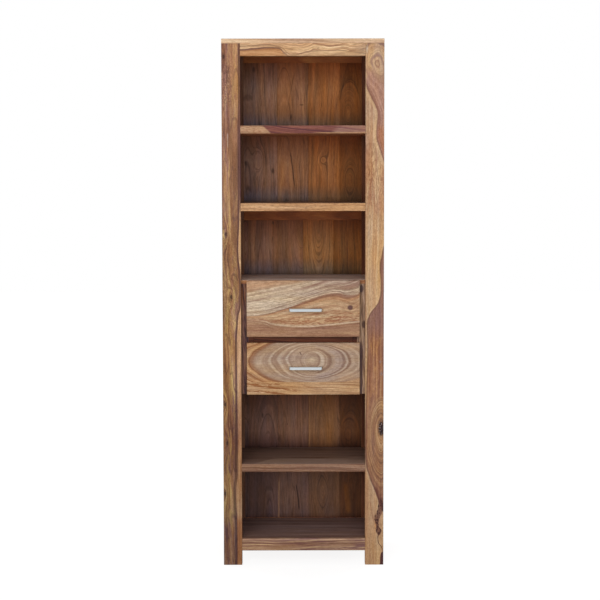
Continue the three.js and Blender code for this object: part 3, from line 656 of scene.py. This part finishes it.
def upper_drawer_front():
    wood = Wood("upper_drawer_front", X, Z, 41)
    main = [(0, 0.371), (0.136, 0.39), (0.318, 0.483), (0.398, 0.528), (0.511, 0.607),
            (0.625, 0.685), (0.739, 0.742), (0.807, 0.746), (0.875, 0.708), (0.943, 0.719),
            (1, 0.787)]
    arc = [(0, 0.31), (0.057, 0.281), (0.148, 0.258), (0.227, 0.202), (0.318, 0.175),
           (0.511, 0.157), (0.682, 0.18), (0.852, 0.2135), (1, 0.247)]
    wedge = [(0, 0.80), (0.239, 0.899), (0.4545, 0.9775), (0.6, 1.05), (1, 1.45)]
    main_line = wood.curve(wood.su, main)
    arc_line = wood.curve(wood.su, arc)
    wedge_line = wood.curve(wood.su, wedge)
    ripple = wood.wander * 0.04
    above = wood.sv - main_line + ripple
    below = arc_line - wood.sv + ripple
    knot_u, knot_v = 0.915, 0.52
    swell = wood.spot(knot_u, knot_v, 0.024, 0.015)
    # the grain runs with the lines, spread between them
    inside = (wood.sv - arc_line) / (main_line - arc_line) + ripple + swell * 0.14
    outside = above / (wedge_line - main_line)
    upper_grain = wood.noise(outside * 14, wood.u * 3, 4.4, 3, 0.5) * 0.55
    upper_grain = upper_grain + wood.noise(outside * 5, wood.u * 5, 6.1, 2) * 0.45
    inner_grain = wood.noise(inside * 10, wood.u * 7, 8.8, 4, 0.65)
    lower_grain = wood.noise(wood.v * 150, wood.u * 4, 1.7, 3, 0.6)
    grey = wood.ramp(
        wood.between(upper_grain, 0.36, 0.63, False), ("ddc6a9", "d0b89c", "bda28a", "9c7966")
    )
    grey = wood.pored(grey, 0.4, "8c6c5e", 0.50)
    honey = wood.ramp(
        wood.between(inner_grain, 0.28, 0.72, False), ("d0b592", "c4a17e", "b48c6a", "9e7357")
    )
    rust = wood.ramp(
        wood.between(lower_grain, 0.3, 0.7, False), ("b48d6d", "a1785d", "8a604c")
    )
    colour = wood.mix(wood.between(above, -0.015, 0.015), honey, grey)
    blur = wood.between(wood.su, 0.5, 0.0) * 0.06
    colour = wood.mix(wood.between(below, -0.01, 0.012 + blur), colour, rust)
    # close dark streaks, thickest near the main line
    streak = wood.noise(outside * 26, wood.u * 7, 2.6, 2)
    nearness = wood.between(outside, 0.9, 0.0, False) * wood.between(above, 0.0, 0.03)
    nearness = nearness * wood.between(wood.su, 0.0, 0.5)
    colour = wood.mix(wood.between(streak, 0.52, 0.62) * nearness * 0.8, colour, "7b5749")
    offset = wood.sv - wedge_line + ripple
    colour = wood.mix(wood.between(offset, -0.06, 0.06) * 0.6, colour, "c08a5e")
    colour = wood.mix(wood.stroke(offset, 0.03) * 0.35, colour, "9a6848")
    # the main line widens to the right and reddens the wood below it
    width = wood.curve(wood.su, [(0, 0.008), (0.3, 0.018), (0.75, 0.06), (0.9, 0.05), (1, 0.03)])
    colour = wood.mix(wood.between(abs(above + 0.02), width * 1.6, width * 0.6) * 0.4, colour, "b0764c")
    colour = wood.mix(wood.between(abs(above), width * 0.7, width * 0.25) * 0.65, colour, "7d4f3f")
    colour = wood.mix(wood.stroke(above - 0.065, 0.018) * 0.5, colour, "84604f")
    # pores in rows above the arc
    zone = wood.between(inside, 0.75, 0.2) * wood.between(below, 0.01, -0.03)
    colour = wood.pored(colour, zone * 0.9, "8a4c34", 0.50)
    rows = wood.noise(wood.u * 22, wood.v * 230, 1.9, 2)
    colour = wood.mix(wood.between(rows, 0.56, 0.62) * zone * 0.7, colour, "94573a")
    clear = wood.between(wood.su, 0.05, 0.3) * 0.6 + 0.1
    colour = wood.mix(wood.stroke(below + 0.025, 0.022) * clear * 0.8, colour, "d6bfa4")
    colour = wood.mix(wood.stroke(below - 0.004, 0.020) * 0.5, colour, "80543f")
    ring = wood.near(swell, 0.35, 0.14)
    colour = wood.mix(ring * 0.25, colour, "94694f")
    core = wood.spot(knot_u, knot_v, 0.012, 0.011)
    colour = wood.mix(wood.between(core, 0.3, 0.8) * 0.9, colour, "58383a")
    wood.finish(colour, 0.5, 0.5, 1.0, 0.5, 0.55)


def lower_drawer_front():
    wood = Wood("lower_drawer_front", X, Z, 42)
    # every ring is an ellipse round the heart, and the outer ones are longer
    du = (wood.su - 0.58) * wood.length
    dv = (wood.sv - 0.6585) * wood.width
    along = wood.most(du / 0.235, du / -0.213)
    rise = wood.most(dv / 0.080, dv / -0.086)
    squared = rise * rise
    eye = wood.root((squared + wood.root(squared * squared + along * along * 4)) / 2)
    twist = wood.noise(wood.u * 9, wood.v * 18, 6.6, 3) - 0.5
    eye = eye + twist * 0.10 * wood.between(eye, 0, 0.4) + wood.wander * 0.04
    broad = wood.noise(eye * 7, wood.u * 3, 3.1, 2)
    close = wood.noise(eye * 30, wood.u * 4, 5.2, 2)
    pattern = wood.between(broad * 0.3 + close * 0.7, 0.32, 0.68, False)
    rings = wood.ramp(pattern, ("95755f", "a5866f", "b2957e", "c1a68b"))
    orange = wood.ramp(
        wood.between(wood.noise(eye * 45, wood.u * 6, 9.2, 3, 0.6), 0.32, 0.68, False),
        ("8f5d3e", "b17f57", "c9a077", "dcb88f"),
    )
    inner = wood.spot(0.88, 0.32, 0.045, 0.018) * 0.5 + wood.spot(0.90, 0.93, 0.05, 0.012) * 0.4
    colour = wood.mix(wood.most(wood.between(eye, 0.96, 1.02), inner), rings, orange)
    # the rings on the right of the heart are the strongest
    strong = wood.between(wood.su, 0.58, 0.64)
    colour = wood.mix((1 - strong) * wood.between(eye, 0.93, 0.85) * 0.3, colour, "ae917b")
    lilac = wood.near(eye, 0.63, 0.07) * strong
    colour = wood.mix(lilac * 0.35, colour, "a8928a")
    for ring, width, tone, at_left, at_right in (
        (0.320, 0.035, "745240", 0.0, 0.45),
        (0.385, 0.050, "d6c2aa", 0.15, 0.50),
        (0.447, 0.030, "745240", 0.20, 0.0),
        (0.515, 0.045, "745240", 0.0, 0.50),
        (0.598, 0.040, "c2ab96", 0.0, 0.25),
        (0.620, 0.022, "745240", 0.20, 0.0),
        (0.646, 0.022, "d6c2aa", 0.40, 0.0),
        (0.678, 0.026, "745240", 0.15, 0.45),
        (0.705, 0.020, "cdbcaa", 0.0, 0.30),
        (0.731, 0.020, "745240", 0.0, 0.45),
        (0.735, 0.022, "d6c2aa", 0.35, 0.0),
        (0.800, 0.050, "c4aa90", 0.0, 0.3),
        (0.808, 0.018, "745240", 0.30, 0.0),
        (0.833, 0.018, "d6c2aa", 0.35, 0.0),
        (0.863, 0.018, "745240", 0.30, 0.0),
        (0.909, 0.030, "d0b698", 0.15, 0.15),
        (0.955, 0.030, "d8c3a6", 0.1, 0.1),
        (0.988, 0.055, "805036", 0.60, 0.25),
        (1.040, 0.030, "e0b583", 0.30, 0.1),
        (1.085, 0.040, "865232", 0.50, 0.1),
    ):
        strength = strong * (at_right - at_left) + at_left
        colour = wood.mix(wood.stroke(eye - ring, width) * strength, colour, tone)
    colour = wood.mix(wood.spot(0.575, 0.67, 0.018, 0.010) * 0.55, colour, "dcc29c")
    tip = wood.spot(0.09, 0.60, 0.012, 0.020)
    colour = wood.mix(tip * 0.3, colour, "d8c0a4")
    # a second board is glued on below, with flames at its left
    glue = wood.sv - 0.245
    layer = wood.v + wood.wander * 0.016
    stave = wood.ramp(
        wood.bands(layer, 0.0042, 4, 1.1), ("996c4a", "b78d65", "cba278", "dab892")
    )
    colour = wood.mix(wood.between(glue, 0.004, -0.004), colour, stave)
    flame = wood.noise(wood.u * 14, wood.v * 120 + wood.u * 16, 2.7, 4, 0.65)
    flames = wood.between(flame, 0.50, 0.56) * wood.between(glue, 0.0, -0.03)
    flames = flames * (wood.between(wood.su, 0.75, 0.2) * 0.75 + 0.15)
    colour = wood.mix(flames, colour, "8a542f")
    dash = wood.stroke(wood.su - 0.476 + (wood.sv - 0.796) * 0.22, 0.006)
    colour = wood.mix(dash * wood.near(wood.sv, 0.796, 0.04) * 0.85, colour, "4a3028")
    wood.finish(colour, 0.4, 0.5, 0.9, 0.7, 0.55)


# Top board, back and sides

BACK = ("684d40", "816250", "966e59", "a88469")
PLAIN = (1.0, 1.0, 1.0)
PAINTED_RED_SHADE_UNDER = (0.66, 0.44, 0.33)  # painted shade, warm and red, right under a shelf
PAINTED_SHEEN_OVER = (0.66, 0.88, 1.36)  # painted sheen and shade, greyer above one
PAINTED_SHADOW_FOOT = (0.36, 0.46, 0.66)  # painted contact shadow, dark where they meet


def planked(node, along, across, seed, planks, tones, tilt=0.09, swells=()):
    """Planks side by side. Each starts at a share across, and has a tint, a pith as a share
    of its own width, how deep the pith lies and how far apart its rings are. A swell is a
    place, its reach each way and how many more rings run round it."""
    wood = Wood(node, along, across, seed)
    starts = [plank[0] for plank in planks]
    ends = starts[1:] + [1.0]
    piths = [a + (b - a) * plank[2] for a, b, plank in zip(starts, ends, planks)]
    offset = 0.5  # a ramp holds no numbers below 0

    def each(values):
        return wood.ramp(wood.sv, values, starts, steps=True)

    tint = each([plank[1] for plank in planks])
    pith = each([p / 2 + offset / 2 for p in piths]) * 2 - offset
    depth = each([plank[3] for plank in planks])
    spacing = each([plank[4] * 10 for plank in planks]) / 10
    side = (wood.sv - pith) * wood.width + wood.wander * 0.035
    into = wood.w + depth + (wood.u - wood.length / 2) * tilt
    rings = (wood.root(side * side + into * into) + pith * 1.7) / spacing
    for su, sv, reach_u, reach_v, count in swells:
        rings = rings + wood.spot(su, sv, reach_u, reach_v) * count
    bands = wood.bands(rings, 1.0, 1.2, 0.55)
    colour = wood.times(wood.ramp(bands, tones), tint)
    return wood, wood.mix(wood.veins(rings, 1.3, 2.5, 0.022) * 0.4, colour, "2a1812")


def top_board():
    staves = [
        (0.0, (1.0, 0.96, 0.9), 0.7, 0.02, 0.011),
        (0.20, (0.88, 0.84, 0.80), -0.2, 0.03, 0.009),
        (0.41, (1.08, 1.02, 0.94), 0.4, 0.012, 0.010),
        (0.63, (0.94, 0.88, 0.80), 1.3, 0.02, 0.008),
        (0.83, (1.04, 1.0, 0.95), 0.5, 0.025, 0.010),
    ]
    face = ("b4886a", "d2a884", "e6c39b", "f4d6ae")
    wood, top = planked("top_board", X, Y, 4, staves, face, 0.04)
    rings = wood.rings((-0.04, 0.05), 0.02, 0.03)
    # pale tones, partly the wood's and partly painted light, as the case is brighter at the top
    tones = ("bd9376", "deb793", "f2d0a9", "ffe3bf")
    edge = wood.ramp(wood.bands(rings, 0.010, 1.2), tones)
    layer = wood.w + wood.wander * 0.015
    edge = wood.mix(wood.veins(layer, 0.004, 4, 0.04) * 0.35, edge, "936650")
    colour = wood.mix(wood.between(wood.v, 0.004, 0.002), top, edge)
    wood.finish(colour, 0.5, 0.6, 0.9, 0.4)


def back_panel(node, seed, planks, painted_light_zones, marks=(), streaks_and_painted_shading=(), swells=(), tilt=0.09):
    low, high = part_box(node)
    start, span, width = BETWEEN[0] - low.x, BETWEEN[1] - BETWEEN[0], high.x - low.x

    def place(height, share):
        """A height, and a share of the way between the posts, as shares of the panel."""
        return (height - low.z) / (high.z - low.z), (start + share * span) / width

    placed = [(place(0, p[0])[1] if p[0] else 0.0, *p[1:]) for p in planks]
    swells = [(*place(height, share), *swell) for height, share, *swell in swells]
    wood, colour = planked(node, Z, X, seed, placed, BACK, tilt, swells)
    # painted light and shade along the bays, on the panel's front face only
    tones = wood.ramp(wood.su, [tone for _, tone in painted_light_zones], [share for share, _ in painted_light_zones])
    colour = wood.times(colour, wood.mix(wood.between(wood.w, 0.001, 0.002), tones, PLAIN))
    for height, share, reach_u, reach_v in marks:
        su, sv = place(height, share)
        mark = wood.between(wood.spot(su, sv + wood.wander * 0.06, reach_u, reach_v), 0.15, 0.9)
        colour = wood.mix(mark * 0.7, colour, "2c1912")
    # thin lines along the planks, and wide soft bands of painted shade and painted light
    for (foot, foot_share), (head, head_share), reach, strength, tone in streaks_and_painted_shading:
        along = (wood.u - (foot - low.z)) / (head - foot)
        lean = along * ((head_share - foot_share) * span) + (start + foot_share * span)
        line = wood.stroke(wood.v - lean + wood.wander * 0.02, reach)
        line = line * wood.between(along, 0, 0.15) * wood.between(along, 1, 0.8)
        colour = wood.mix(line * strength, colour, tone)
    wood.finish(colour, 1.0, 0.75, 0.8, 1.2)


def zoned(node, bays):
    """Places along a back panel, from its foot, of painted light and shade: each bay starts with a
    painted contact shadow and a grey painted sheen, and ends in a red painted shade under the shelf
    above. A bay is its bottom, its top and its painted shade level, and it may have its own painted
    foot, over and under."""
    low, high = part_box(node)
    painted_light_zones = []
    for bottom, top, shade, *ends in bays:
        foot, over, under = ends or (PAINTED_SHADOW_FOOT, PAINTED_SHEEN_OVER, PAINTED_RED_SHADE_UNDER)
        places = (bottom, bottom + 0.018, bottom + 0.06, top - 0.09, top)
        share = [(z - low.z) / (high.z - low.z) for z in places]
        painted_light_zones += list(zip(share, (foot, over, shade, shade, under)))
    return [(min(max(s, 0), 1), tone) for s, tone in painted_light_zones]


# Boards that are seen little from the front

SIDE = ("593625", "7a4f36", "966642", "ae7c54")
INSIDE = ("7d5a42", "967052", "ab8462", "bd9874")


def plain(node, along, across, seed, tones):
    wood = Wood(node, along, across, seed)
    centre = (wood.width * (0.3 + 0.4 * math.sin(seed) ** 2), wood.thick + 0.03)
    rings = wood.rings(centre, 0.05)
    wood.finish(wood.ramp(wood.bands(rings, 0.010), tones))


def side_panel(node, seed):
    tints = [(0.95, 0.9, 0.85), (1.1, 1.05, 0.95), (0.85, 0.8, 0.8), (1.05, 0.98, 0.85)]
    planks = [
        (i / 4, tint, pith, 0.03, 0.008)
        for i, (tint, pith) in enumerate(zip(tints, (0.6, 1.2, 0.3, 0.5)))
    ]
    wood, colour = planked(node, Z, Y, seed, planks, SIDE, 0.05)
    wood.finish(colour, 0.8, 0.6, 0.6, 0.6)


def rear_post(node, seed, front):
    """The rear posts show a strip of their front face in the open bays, and that face takes darker
    tones of its own, painted shade of the bays' back corners.
    """
    wood = Wood(node, Z, X, seed)
    rings = wood.rings((0.02, 0.05), 0.02, 0.03)
    body = wood.ramp(wood.bands(rings, 0.008), SIDE)
    face = wood.ramp(wood.bands(rings, 0.006, 2, 0.7), front)
    # painted shade on the front face
    colour = wood.mix(wood.between(wood.w, 0.0004, 0.0012), face, body)
    wood.finish(colour, 0.8, 0.6, 0.6, 0.6)


left_front_post()
right_front_post()
top_board()
front_top_rail()
front_bottom_rail()
rear_rail("rear_top_rail", 23)
rear_rail("back_rail_upper", 24)
rear_rail("back_rail_lower", 25)
rear_rail("rear_bottom_rail", 26)
# front-face tones are painted shade, darkest on the right
rear_post("rear_left_post", 27, ("5a3a2b", "6c4938", "7d5944", "8c6850"))
rear_post("rear_right_post", 28, ("3c1e14", "4c291b", "5c3524", "6d4530"))
upper_shelf()
shelf("middle_shelf", 32, ("b4845d", "c8976b", "d5a778", "e0b487"))
# its depth ramp is painted shade to the back
shelf(
    "lower_shelf", 33, DARK_EDGE, ("4d3528", "715447", "8c7063", "a6897a"),
    depth=(1.2, 0.95, 0.70), fore=0.6,
)
# its top's greyer tones are partly painted sheen, and its depth ramp is painted shade to the back with
# a bluish painted sheen across the middle
shelf(
    "bottom_shelf", 34, DARK_EDGE, ("5f443c", "775e56", "8f746a", "a0867d"),
    depth=((1.15, 1.08, 1.02), (1.10, 1.16, 1.28), (0.76, 0.74, 0.77)),
)
# its top's pale grey tones are partly painted sheen, and the default depth ramp paints shade to the
# back
shelf(
    "drawer_case_top", 35, ("7c5038", "9a6848", "b5835a", "c4946a"),
    ("a68e81", "c6afa2", "dcc9be", "ecdcd4"),
)
# the left stile's very dark tones are partly its wood and partly painted shadow of the drawer fronts
stile("left_stile", 36, ("2b1a1c", "493134", "5f403c", "6f4f44"), "7f5c49", "95592f", (0.90, 0.12))
stile(
    "right_stile", 37, ("5d453f", "7c624d", "91745c", "a5866c"), "aa8d78", "614743", (0.33, 0.14),
    # the first mark is a long dark line beside the lower drawer, partly a purple streak and partly
    # painted shadow of the drawer front
    [(0.20, 0.71, 0.130, 0.0050, "4a3537"), (0.955, 0.70, 0.016, 0.009, "3d2a2c"),
     (0.63, 0.95, 0.016, 0.009, "3a2523")],
)
drawer_rail()
upper_drawer_front()
lower_drawer_front()

back_panel(
    "back_panel_upper", 51,
    [(0.0, (0.93, 0.95, 1.01), 0.5, 0.03, 0.012), (0.10, (1.13, 1.08, 1.03), -0.3, 0.03, 0.009),
     (0.285, (1.14, 0.97, 0.71), 0.25, 0.04, 0.010), (0.547, (1.33, 0.96, 0.48), 1.3, 0.03, 0.007),
     (0.814, (0.80, 0.53, 0.23), 0.45, 0.035, 0.010)],
    zoned("back_panel_upper", [(1.247, 1.482, (0.98,) * 3), (1.509, 1.742, (1.03,) * 3)]),
    [(1.385, 0.005, 0.010, 0.005), (1.357, 0.253, 0.012, 0.006), (1.593, 0.488, 0.0025, 0.009),
     (1.549, 0.40, 0.014, 0.003), (1.719, 0.083, 0.012, 0.006)],
    [((1.29, 0.431), (1.44, 0.381), 0.0036, 0.75, "21120e"),
     ((1.60, 0.385), (1.715, 0.438), 0.0028, 0.35, "2c1912"),
     ((1.515, 0.41), (1.61, 0.383), 0.0028, 0.45, "2c1912"),
     ((1.60, 0.80), (1.70, 0.86), 0.0036, 0.4, "24130d")],
    [(1.396, 0.663, 0.020, 0.014, -4), (1.395, 0.133, 0.040, 0.016, -4),
     (1.33, 0.90, 0.06, 0.03, -4), (1.564, 0.88, 0.075, 0.035, -7)],
)
back_panel(
    "back_panel_middle", 52,
    [(0.0, (0.68, 0.66, 0.76), 0.5, 0.03, 0.012), (0.035, (0.97, 0.90, 0.83), 1.4, 0.04, 0.011),
     (0.245, (0.85, 0.76, 0.63), 0.9, 0.05, 0.012), (0.502, (1.19, 1.01, 0.57), 0.5, 0.048, 0.006),
     (0.762, (0.77, 0.535, 0.22), 1.2, 0.04, 0.010)],
    zoned("back_panel_middle", [(0.984, 1.18, PLAIN)]),
    [(1.171, 0.249, 0.007, 0.004)], tilt=-0.16,
)
back_panel(
    "back_panel_lower", 53,
    # these planks are tinted darker than the upper panels', partly the wood's tone and partly painted
    # shade of the low bays
    [(0.0, (0.60, 0.61, 0.70), 0.5, 0.03, 0.010), (0.03, (0.57, 0.54, 0.58), 0.7, 0.04, 0.008),
     (0.285, (0.67, 0.61, 0.56), -0.2, 0.05, 0.010), (0.547, (0.71, 0.61, 0.45), 0.42, 0.010, 0.006),
     (0.814, (0.45, 0.32, 0.20), 0.5, 0.03, 0.008)],
    # these bays have their own painted shade levels, painted contact shadows, painted sheen and painted
    # red shade
    zoned("back_panel_lower", [
        (0.092, 0.325, (0.94, 0.99, 1.10), (0.42, 0.37, 0.43), (0.73, 0.81, 1.03), PAINTED_RED_SHADE_UNDER),
        (0.352, 0.552, (1.16, 1.17, 1.17), (0.26, 0.21, 0.24), (0.58, 0.54, 0.60),
         (0.72, 0.50, 0.40)),
    ]),
    [(0.469, 0.143, 0.012, 0.004), (0.437, 0.355, 0.005, 0.002)],
    [((0.115, 0.47), (0.225, 0.44), 0.0036, 0.8, "1e110e"),
     ((0.080, 0.292), (0.245, 0.296), 0.0044, 0.4, "c08f68"),
     # two wide dark bands of painted shade in the lowest bay
     ((0.085, 0.08), (0.33, 0.08), 0.080, 0.35, "38292a"),
     ((0.085, 0.68), (0.33, 0.68), 0.070, 0.20, "55403a"),
     ((0.100, 0.90), (0.230, 0.86), 0.014, 0.40, "85501f"),
     # a wide pale band of painted light in the bay above
     ((0.340, 0.68), (0.57, 0.68), 0.070, 0.15, "b57c44"),
     ((0.340, 0.550), (0.57, 0.550), 0.0040, 0.22, "bd8650")],
    [(0.184, 0.667, 0.05, 0.03, -6), (0.403, 0.88, 0.05, 0.03, -6)],
)
side_panel("left_side_panel", 61)
side_panel("right_side_panel", 62)

seed = 70
for names, along, across, tones in (
    (("left_top_rail", "right_top_rail"), Y, Z, HEART),
    (("left_bottom_rail", "right_bottom_rail"), Y, Z, HEART),
    (("drawer_case_bottom",), X, Y, SIDE),
    (("lower_left_runner", "lower_right_runner"), Y, X, INSIDE),
    (("upper_left_runner", "upper_right_runner"), Y, X, INSIDE),
    (("upper_drawer_left_side", "upper_drawer_right_side"), Y, Z, INSIDE),
    (("lower_drawer_left_side", "lower_drawer_right_side"), Y, Z, INSIDE),
    (("upper_drawer_back", "lower_drawer_back"), X, Z, INSIDE),
    (("upper_drawer_bottom", "lower_drawer_bottom"), X, Y, INSIDE),
):
    for name in names:
        plain(name, along, across, seed, tones)
        seed += 1

for node in nodes.values():
    if "handle" in node.name or "screw" in node.name:
        continue
    eased = node.modifiers.new("worn edges", "BEVEL")
    eased.width, eased.segments = 0.0006, 2
    eased.limit_method, eased.angle_limit = "ANGLE", math.radians(30)

# Handles and screws


def brushed(name, tone, rough, along):
    """Satin metal with fine scratches along one axis."""
    metal = Tree(name)
    coordinates = metal.add("ShaderNodeTexCoord").outputs["Object"]
    split = metal.add("ShaderNodeSeparateXYZ")
    metal.links.new(coordinates, split.inputs[0])
    place = [
        Term(metal, socket) * (60 if axis == along else 1400)
        for axis, socket in enumerate(split.outputs)
    ]
    scratch = metal.noise(*place, 3, 0.6) - 0.5
    smudge = metal.noise(*[Term(metal, s) * 40 for s in split.outputs], 2) - 0.5
    shade = 1 + scratch * 0.25 + smudge * 0.12
    metal.put(
        metal.shader.inputs["Base Color"],
        metal.times(tone, metal.vector(shade, shade, shade)),
    )
    metal.put(metal.shader.inputs["Roughness"], rough + scratch * 0.2 + smudge * 0.1)
    metal.shader.inputs["Metallic"].default_value = 1
    bump = metal.add("ShaderNodeBump")
    bump.inputs["Strength"].default_value = 0.3
    bump.inputs["Distance"].default_value = 0.0001
    metal.put(bump.inputs["Height"], scratch)
    metal.links.new(bump.outputs[0], metal.shader.inputs["Normal"])
    return metal.material


satin = brushed("satin_nickel", "c3c9cc", 0.34, X)
zinc = brushed("zinc", "a2a4a8", 0.42, Y)

BAR_THICK = 0.008  # of the bow, in its own plane
BEND = 0.005  # radius of the bar's middle at a bend
CORNER = 0.0016  # radius along the bar's edges


def bow(name, node, body):
    """A bar bent into a bow: legs out of the drawer front, and a grip across them."""
    low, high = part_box(node)
    half = BAR_THICK / 2
    left, right = low.x + half, high.x - half
    back, out = high.y, low.y + half
    middle = (low.z + high.z) / 2
    path = [(left, back, -1, 0), (left, out + BEND, -1, 0)]
    turns = 8
    for i in range(1, turns + 1):
        a = math.pi / 2 * i / turns
        x, y = left + BEND * (1 - math.cos(a)), out + BEND * (1 - math.sin(a))
        path.append((x, y, -math.cos(a), -math.sin(a)))
    path += [(left + right - x, y, -nx, ny) for x, y, nx, ny in reversed(path)]
    profile = []
    tall = (high.z - low.z) / 2
    for cx, cz, first in ((1, 1, 0), (-1, 1, 1), (-1, -1, 2), (1, -1, 3)):
        for i in range(5):
            a = math.pi / 2 * (first + i / 4)
            p = cx * (half - CORNER) + CORNER * math.cos(a)
            profile.append((p, cz * (tall - CORNER) + CORNER * math.sin(a)))
    mesh = bmesh.new()
    hoops = [
        [mesh.verts.new((x + nx * p, y + ny * p, middle + q)) for p, q in profile]
        for x, y, nx, ny in path
    ]
    count = len(profile)
    for here, there in zip(hoops, hoops[1:]):
        for i in range(count):
            j = (i + 1) % count
            mesh.faces.new((here[i], here[j], there[j], there[i]))
    mesh.faces.new(hoops[0])
    mesh.faces.new(hoops[-1][::-1])
    bmesh.ops.recalc_face_normals(mesh, faces=mesh.faces)
    data = bpy.data.meshes.new(name)
    mesh.to_mesh(data)
    mesh.free()
    for face in data.polygons:
        face.use_smooth = True
    data.set_sharp_from_angle(angle=math.radians(40))
    data.materials.append(satin)
    made = bpy.data.objects.new(name, data)
    scene.collection.objects.link(made)
    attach(made, body)
    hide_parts(node)


for drawer in ("upper_drawer", "lower_drawer"):
    bow(f"{drawer}_bow", f"{drawer}_handle", drawer)
    for side in ("left", "right"):
        dress(f"{drawer}_{side}_screw", zinc)

# Camera, floor and light

LENS, SENSOR = 90.0123, 36  # in millimetres
LENS_SHIFT = -0.02  # a larger one cuts the object in other views
TURNED = (0.0641, 4.2582, -0.1013)  # yaw, pitch and roll in degrees
EYE_RIGHT, EYE_AHEAD, EYE_HEIGHT = -0.01658, 5.09466, 1.33754  # ahead of the posts' fronts

camera_data = bpy.data.cameras.new("camera")
camera_data.lens, camera_data.sensor_width = LENS, SENSOR
camera_data.shift_y = LENS_SHIFT
camera = bpy.data.objects.new("camera", camera_data)
scene.collection.objects.link(camera)
yaw, pitch, roll = (math.radians(angle) for angle in TURNED)
ahead = Vector(
    (math.sin(yaw) * math.cos(pitch), math.cos(yaw) * math.cos(pitch), -math.sin(pitch))
)
right = Vector((math.cos(yaw), -math.sin(yaw), 0))
up = right.cross(ahead)
right_rolled = math.cos(roll) * right + math.sin(roll) * up
up_rolled = math.cos(roll) * up - math.sin(roll) * right
turn = Matrix((right_rolled, up_rolled, -ahead)).transposed()
camera.matrix_world = Matrix.LocRotScale(
    Vector((EYE_RIGHT, left_post[0].y - EYE_AHEAD, EYE_HEIGHT)), turn.to_quaternion(), None
)
scene.camera = camera
scene.view_settings.view_transform = "Standard"


def direct_rays(tree):
    """1 for a ray from the camera, a gloss or a pane; such rays see the white studio."""
    rays = tree.add("ShaderNodeLightPath")
    seen, glossy, through = [
        Term(tree, rays.outputs[f"Is {kind} Ray"]) for kind in ("Camera", "Glossy", "Transmission")
    ]
    return tree.most(tree.most(seen, glossy), through)


class Studio(Tree):
    """The world's own nodes."""

    def __init__(self, world):
        world.use_nodes = True
        self.nodes, self.links = world.node_tree.nodes, world.node_tree.links
        self.nodes.clear()


FILL = 0.24
world = bpy.data.worlds.new("studio")
scene.world = world
studio = Studio(world)
shown, lit = studio.add("ShaderNodeBackground"), studio.add("ShaderNodeBackground")
for background, strength in ((shown, 1.0), (lit, FILL)):
    background.inputs["Color"].default_value = (1, 1, 1, 1)
    background.inputs["Strength"].default_value = strength
choice = studio.add("ShaderNodeMixShader")
studio.put(choice.inputs[0], direct_rays(studio))
studio.links.new(lit.outputs[0], choice.inputs[1])
studio.links.new(shown.outputs[0], choice.inputs[2])
studio.links.new(choice.outputs[0], studio.add("ShaderNodeOutputWorld").inputs[0])

FLOOR_REACH = 12
floor_mesh = bpy.data.meshes.new("floor")
corners = [(x * FLOOR_REACH, y * FLOOR_REACH, 0) for x, y in ((-1, -1), (1, -1), (1, 1), (-1, 1))]
floor_mesh.from_pydata(corners, [], [(0, 1, 2, 3)])
floor = bpy.data.objects.new("floor", floor_mesh)
scene.collection.objects.link(floor)
paper = Tree("floor_paper")
paper.nodes.clear()
bounce = paper.add("ShaderNodeBsdfDiffuse")
bounce.inputs["Color"].default_value = linear(0.5)
shadow = paper.add("ShaderNodeBsdfDiffuse")
shadow.inputs["Color"].default_value = linear(0.3)
glow = paper.add("ShaderNodeEmission")
split = paper.add("ShaderNodeSeparateXYZ")
paper.links.new(paper.add("ShaderNodeTexCoord").outputs["Object"], split.inputs[0])
away = [Term(paper, socket) for socket in split.outputs[:2]]
distance = paper.root(away[0] * away[0] + away[1] * away[1])
paper.put(glow.inputs["Strength"], 0.88 + 0.12 * paper.between(distance, 1.0, 3.0))
both = paper.add("ShaderNodeAddShader")
choice = paper.add("ShaderNodeMixShader")
paper.links.new(shadow.outputs[0], both.inputs[0])
paper.links.new(glow.outputs[0], both.inputs[1])
paper.put(choice.inputs[0], direct_rays(paper))
paper.links.new(bounce.outputs[0], choice.inputs[1])
paper.links.new(both.outputs[0], choice.inputs[2])
paper.links.new(choice.outputs[0], paper.add("ShaderNodeOutputMaterial").inputs[0])
floor_mesh.materials.append(paper.material)


def lamp(name, place, target, size, power):
    data = bpy.data.lights.new(name, "AREA")
    data.size, data.energy = size, power
    made = bpy.data.objects.new(name, data)
    scene.collection.objects.link(made)
    made.location = place
    made.rotation_euler = (Vector(target) - Vector(place)).to_track_quat("-Z", "Y").to_euler()
    return made


key = lamp("key", (-0.5, -4.4, 1.6), (0, 0, 0.95), 3.2, 132)
key.visible_glossy = False  # metal mirrors the white studio instead
lamp("left_back", (-3.2, 2.6, 2.2), (0, 0.2, 0.9), 1.8, 45)
lamp("right_back", (3.2, 2.6, 2.2), (0, 0.2, 0.9), 1.8, 45)
